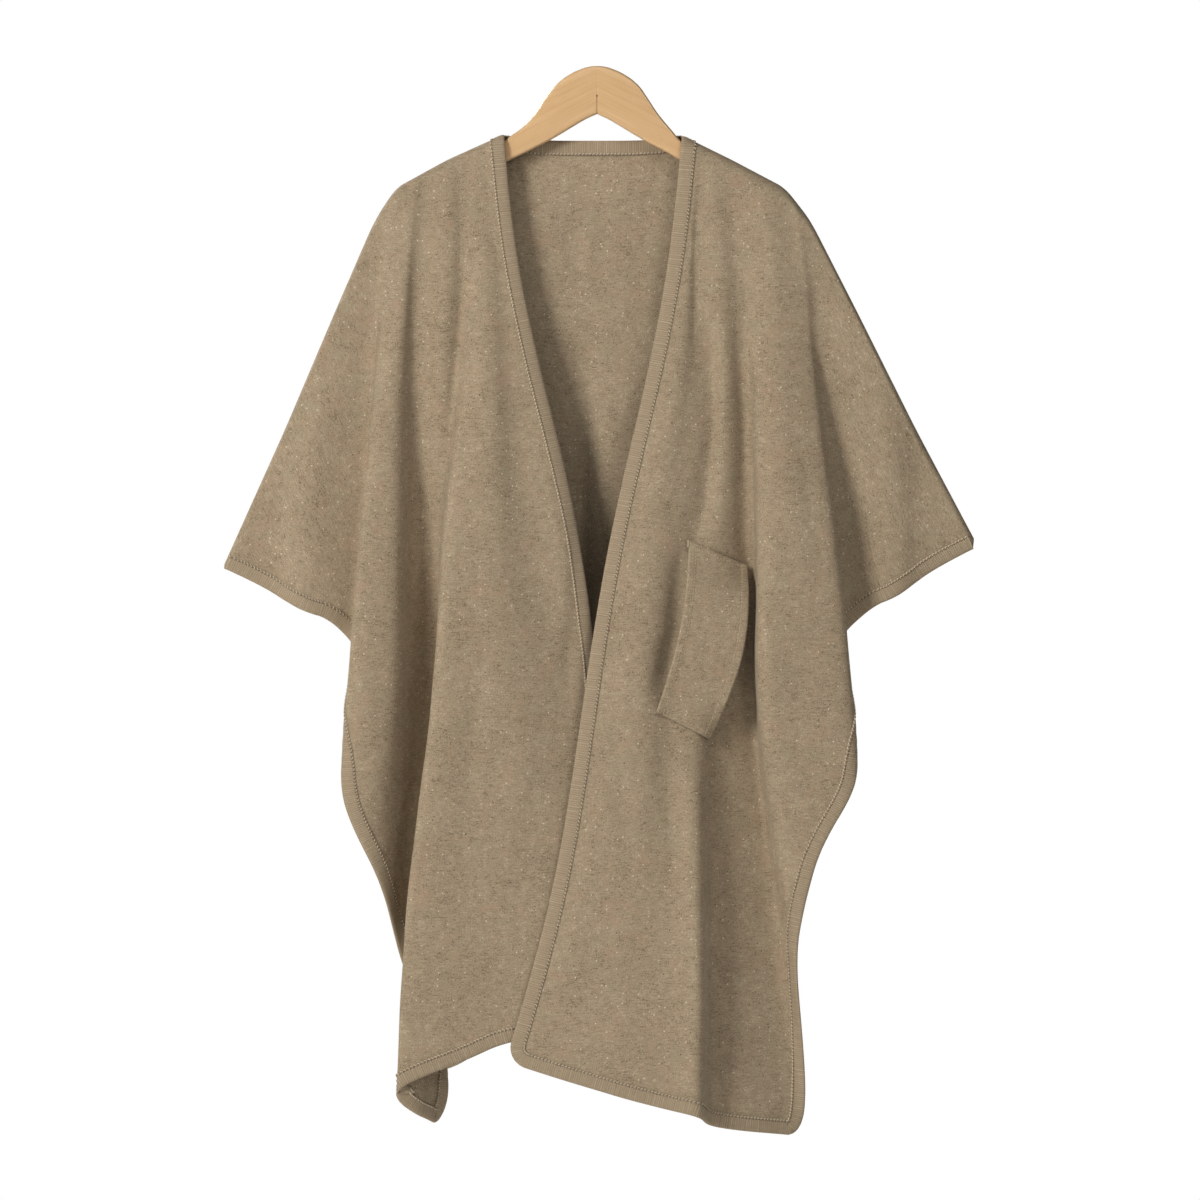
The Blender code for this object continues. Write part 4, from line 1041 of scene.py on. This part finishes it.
def thread_stitches(centres, ways, ups, length, radius):
    """Short threads: a six-sided ring carried along each stitch, thinner and sunk at both ends."""
    ways = unit(ways)
    sideways = unit(np.cross(ways, ups))
    ups = np.cross(sideways, ways)
    along = np.array([-0.5, -0.38, -0.15, 0.15, 0.38, 0.5]) * length
    girth = np.array([0.35, 0.85, 1.0, 1.0, 0.85, 0.35]) * radius
    sink = np.array([-1.3, -0.3, 0.35, 0.35, -0.3, -1.3]) * radius
    angle = np.arange(6) * math.pi / 3
    ring = sideways[:, None, None] * np.cos(angle)[:, None] + ups[:, None, None] * np.sin(angle)[:, None]
    line = centres[:, None] + ways[:, None] * along[:, None] + ups[:, None] * sink[:, None]
    points = line[:, :, None] + ring * girth[None, :, None, None]
    caps = np.array([[0, 1, 2, 3], [0, 3, 4, 5], [33, 32, 31, 30], [35, 34, 33, 30]])
    one = np.concatenate([tube_cells(6, 6), caps])
    faces = (one[None] + STITCH_POINTS * np.arange(len(centres))[:, None, None]).reshape(-1, 4)
    return points.reshape(-1, 3), faces


def hem_stitches(line, ups):
    """Centres, directions and upward ways of stitches at even steps along a line of points."""
    run = np.concatenate([[0], np.cumsum(np.linalg.norm(np.diff(line, axis=0), axis=1))])
    at = np.arange(STITCH_APART, run[-1] - STITCH_APART / 2, STITCH_APART)
    parts = (line, np.gradient(line, axis=0), ups)
    return [np.stack([np.interp(at, run, part[:, k]) for k in range(3)], axis=1) for part in parts]


# The stitches follow these rows of the strap's grid along its hems, and these columns along its ends
HEM_ROWS = (7, 53)
END_COLUMNS = (3, 117)
face = strap + outward * (CLOTH / 2 + 0.12)
rows_sewn = [hem_stitches(face[row], outward[row]) for row in HEM_ROWS]
rows_sewn += [hem_stitches(face[1:60, column], outward[1:60, column]) for column in END_COLUMNS]
bar = np.linspace(-BAR_HALF, BAR_HALF, BAR_STITCHES)[:, None]
bar_way = unit(face[0, 6] - face[0, 0])
bar_centres = face[0, 2] + bar_way * bar
bar_ways = np.repeat(unit(face[4, 2] - face[0, 2])[None], BAR_STITCHES, axis=0)
bar_ups = np.repeat(outward[1, 2][None], BAR_STITCHES, axis=0)
rows_sewn.append([bar_centres - bar_ways * 0.6, bar_ways, bar_ups])
centres, ways, ups = [np.concatenate(parts) for parts in zip(*rows_sewn)]
stitch_points, stitch_faces = thread_stitches(centres, ways, ups, STITCH_LONG, THREAD)
thread_numbers = {
    "painted_light": np.full(len(stitch_points), 0.75),
    "stitch": np.repeat(np.arange(len(centres)), STITCH_POINTS),
    "chain": np.zeros(len(stitch_points)),
}
loop_yarn = yarn_finish("loop_yarn", 1.30)
loop_stitches = add_piece("loop_stitches", stitch_points, stitch_faces, loop_yarn, thread_numbers)


# Hanger: two arms of light beech glued at the middle and planed to one smooth outline, with eased
# edges, a satin lacquer, and a socket in the crown for the hook. The lists give its upper and lower
# outline; the part round the crown is the same on both hands.
HANGER_THICK = 12.0
HANGER_ROUND = 3.5
CORNER_POINTS = 7
RING = 4 * CORNER_POINTS
GRAIN_SLANT = math.radians(27)
WOOD_DARK = (0.570, 0.370, 0.190)
WOOD_BASE = (0.625, 0.420, 0.228)
WOOD_PALE = (0.680, 0.475, 0.275)
WOOD_PORE = (0.30, 0.155, 0.065)
GLUE_LINE = (0.16, 0.075, 0.03)
PIN_HOLE_SHADE = (0.13, 0.06, 0.025)
SOCKET_RADIUS = 2.25
SOCKET_DEPTH = 22.0

Arm = namedtuple("Arm", "across top bottom")
RIGHT_ARM = [
    Arm(-205, 136, 145), Arm(-201, 130, 148), Arm(-190, 123, 143), Arm(-150, 100.5, 124),
    Arm(-110, 82, 105), Arm(-95, 77, 98), Arm(-90, 73.5, 95.5), Arm(-86, 69.5, 93.5),
    Arm(-78, 64.5, 90), Arm(-69, 56.5, 85.5), Arm(-61, 46.5, 81.5), Arm(-53, 34, 77.5),
]
CROWN = [
    Arm(0, 0, 48), Arm(5, 0, 50.2), Arm(13, 1.8, 54), Arm(24, 6.3, 60.6),
    Arm(34, 12.5, 66.7), Arm(43, 20.5, 72),
]
LEFT_ARM = [
    Arm(52, 34, 77.5), Arm(60, 46.5, 81.5), Arm(68, 56.5, 85.5), Arm(75, 64.5, 89.5),
    Arm(79, 69.5, 92), Arm(83, 74.5, 94), Arm(88, 78, 96), Arm(106, 86, 105),
    Arm(146, 103.5, 124), Arm(180, 122, 141), Arm(191, 131, 145), Arm(195, 137, 142),
]
HANGER = RIGHT_ARM + [Arm(-a, b, c) for a, b, c in CROWN[:0:-1]] + CROWN + LEFT_ARM

stations = np.concatenate([
    np.linspace(-205, -2, 190),
    [-1.2, -0.6, -0.3, 0.0, 0.3, 0.6, 1.2],
    np.linspace(2, 195, 182),
])
places = np.array([a.across for a in HANGER], float)
notch_ease = 0.5 + 2.5 * smooth(np.abs(stations) / 12)[:, None]
upper = eased(stations, places, [a.top for a in HANGER], 3.0)
lower = eased(stations, places, [a.bottom for a in HANGER], notch_ease)
upper[0], lower[0] = HANGER[0].top, HANGER[0].bottom
upper[-1], lower[-1] = HANGER[-1].top, HANGER[-1].bottom
tall = (lower - upper) / 2
edge = np.minimum(HANGER_ROUND, tall * 0.7)
angles = (np.arange(4)[:, None] + np.linspace(0, 1, CORNER_POINTS)[None, :]).ravel() * math.pi / 2
sign_y = np.repeat([1.0, -1.0, -1.0, 1.0], CORNER_POINTS)
sign_z = np.repeat([1.0, 1.0, -1.0, -1.0], CORNER_POINTS)
half = HANGER_THICK / 2
ring_y = sign_y * (half - edge[:, None]) + edge[:, None] * np.cos(angles)
ring_z = sign_z * (tall - edge)[:, None] + edge[:, None] * np.sin(angles) - (upper + lower)[:, None] / 2
# The glued joint shows as a fine groove below the pin
joint = np.exp(-((stations / 0.35) ** 2))[:, None] * smooth((-ring_z - 28) / 4)
ring_y = ring_y * (1 - 0.06 * joint)
hanger_points = np.stack([np.repeat(stations[:, None], RING, axis=1), ring_y, ring_z], axis=-1)
rows = len(stations)
beech = Finish("hanger_beech", {"Roughness": 0.36, "Specular IOR Level": 0.45, "Coat Weight": 0.15})
at = beech.places()
split, depth, height = [beech.place(at, axis) for axis in "XYZ"]
out = split.size()
along = out * math.cos(GRAIN_SLANT) - height * math.sin(GRAIN_SLANT)
cross = out * math.sin(GRAIN_SLANT) + height * math.cos(GRAIN_SLANT)
grain_at = beech.node("ShaderNodeCombineXYZ", {}, {"X": along, "Y": depth, "Z": cross})
figure = beech.noise(beech.stretched(grain_at, (7, 60, 150)), 1.0, 3.0, 0.55)
lines = beech.noise(beech.stretched(grain_at, (22, 380, 900)), 1.0, 2.0, 0.6)
pores = beech.noise(beech.stretched(grain_at, (170, 1500, 2600)), 1.0, 1.0, 0.5)
tone = figure * 0.5 + lines * 0.4 + pores * 0.1
wood = beech.blend(tone.over(0.34, 0.52), shade(WOOD_DARK), shade(WOOD_BASE))
wood = beech.blend(tone.over(0.52, 0.68), wood, shade(WOOD_PALE))
wood = beech.blend(pores.over(0.66, 0.74) * 0.45, wood, shade(WOOD_PORE))
glue = out.over(0.0006, 0.0001) * height.over(-0.027, -0.030)
wood = beech.blend(glue * 0.75, wood, shade(GLUE_LINE))
pin = (split * split + (height + 0.030) * (height + 0.030)) ** 0.5
# The pin's hole is not cut in the mesh: a dark dot on the front face stands in for it, as painted shade.
pin_hole_shade = pin.over(0.0013, 0.0007) * depth.over(0, -0.004)
wood = beech.blend(pin_hole_shade * 0.8, wood, shade(PIN_HOLE_SHADE))
beech.join("Base Color", wood)
beech.join("Roughness", 0.30 + lines * 0.14)
beech.join("Normal", beech.bump(lines, 0.0003, 0.25))
hanger_cells = tube_cells(rows, RING)
wooden_hanger = add_piece("wooden_hanger", hanger_points.reshape(-1, 3), hanger_cells, beech.material)

work = bmesh.new()
work.from_mesh(wooden_hanger.data)
work.verts.ensure_lookup_table()
for start in (0, (rows - 1) * RING):
    work.faces.new([work.verts[start + k] for k in range(RING)])
bmesh.ops.remove_doubles(work, verts=work.verts, dist=1e-6)
bmesh.ops.recalc_face_normals(work, faces=work.faces)
work.to_mesh(wooden_hanger.data)
work.free()

# The hook's socket is drilled straight down from the crown
socket_mesh = bpy.data.meshes.new("socket_drill")
drill = bmesh.new()
bmesh.ops.create_cone(
    drill,
    cap_ends=True,
    segments=40,
    radius1=SOCKET_RADIUS * MM,
    radius2=SOCKET_RADIUS * MM,
    depth=2 * SOCKET_DEPTH * MM,
)
drill.to_mesh(socket_mesh)
drill.free()
socket_drill = new_object("socket_drill", socket_mesh)
bore = wooden_hanger.modifiers.new("socket", "BOOLEAN")
bore.operation = "DIFFERENCE"
bore.object = socket_drill
bpy.context.view_layer.update()
evaluated = wooden_hanger.evaluated_get(bpy.context.evaluated_depsgraph_get())
drilled = bpy.data.meshes.new_from_object(evaluated)
wooden_hanger.modifiers.remove(bore)
wooden_hanger.data = drilled
bpy.data.objects.remove(socket_drill)
drilled.set_sharp_from_angle(angle=math.radians(50))
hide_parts("hanger")
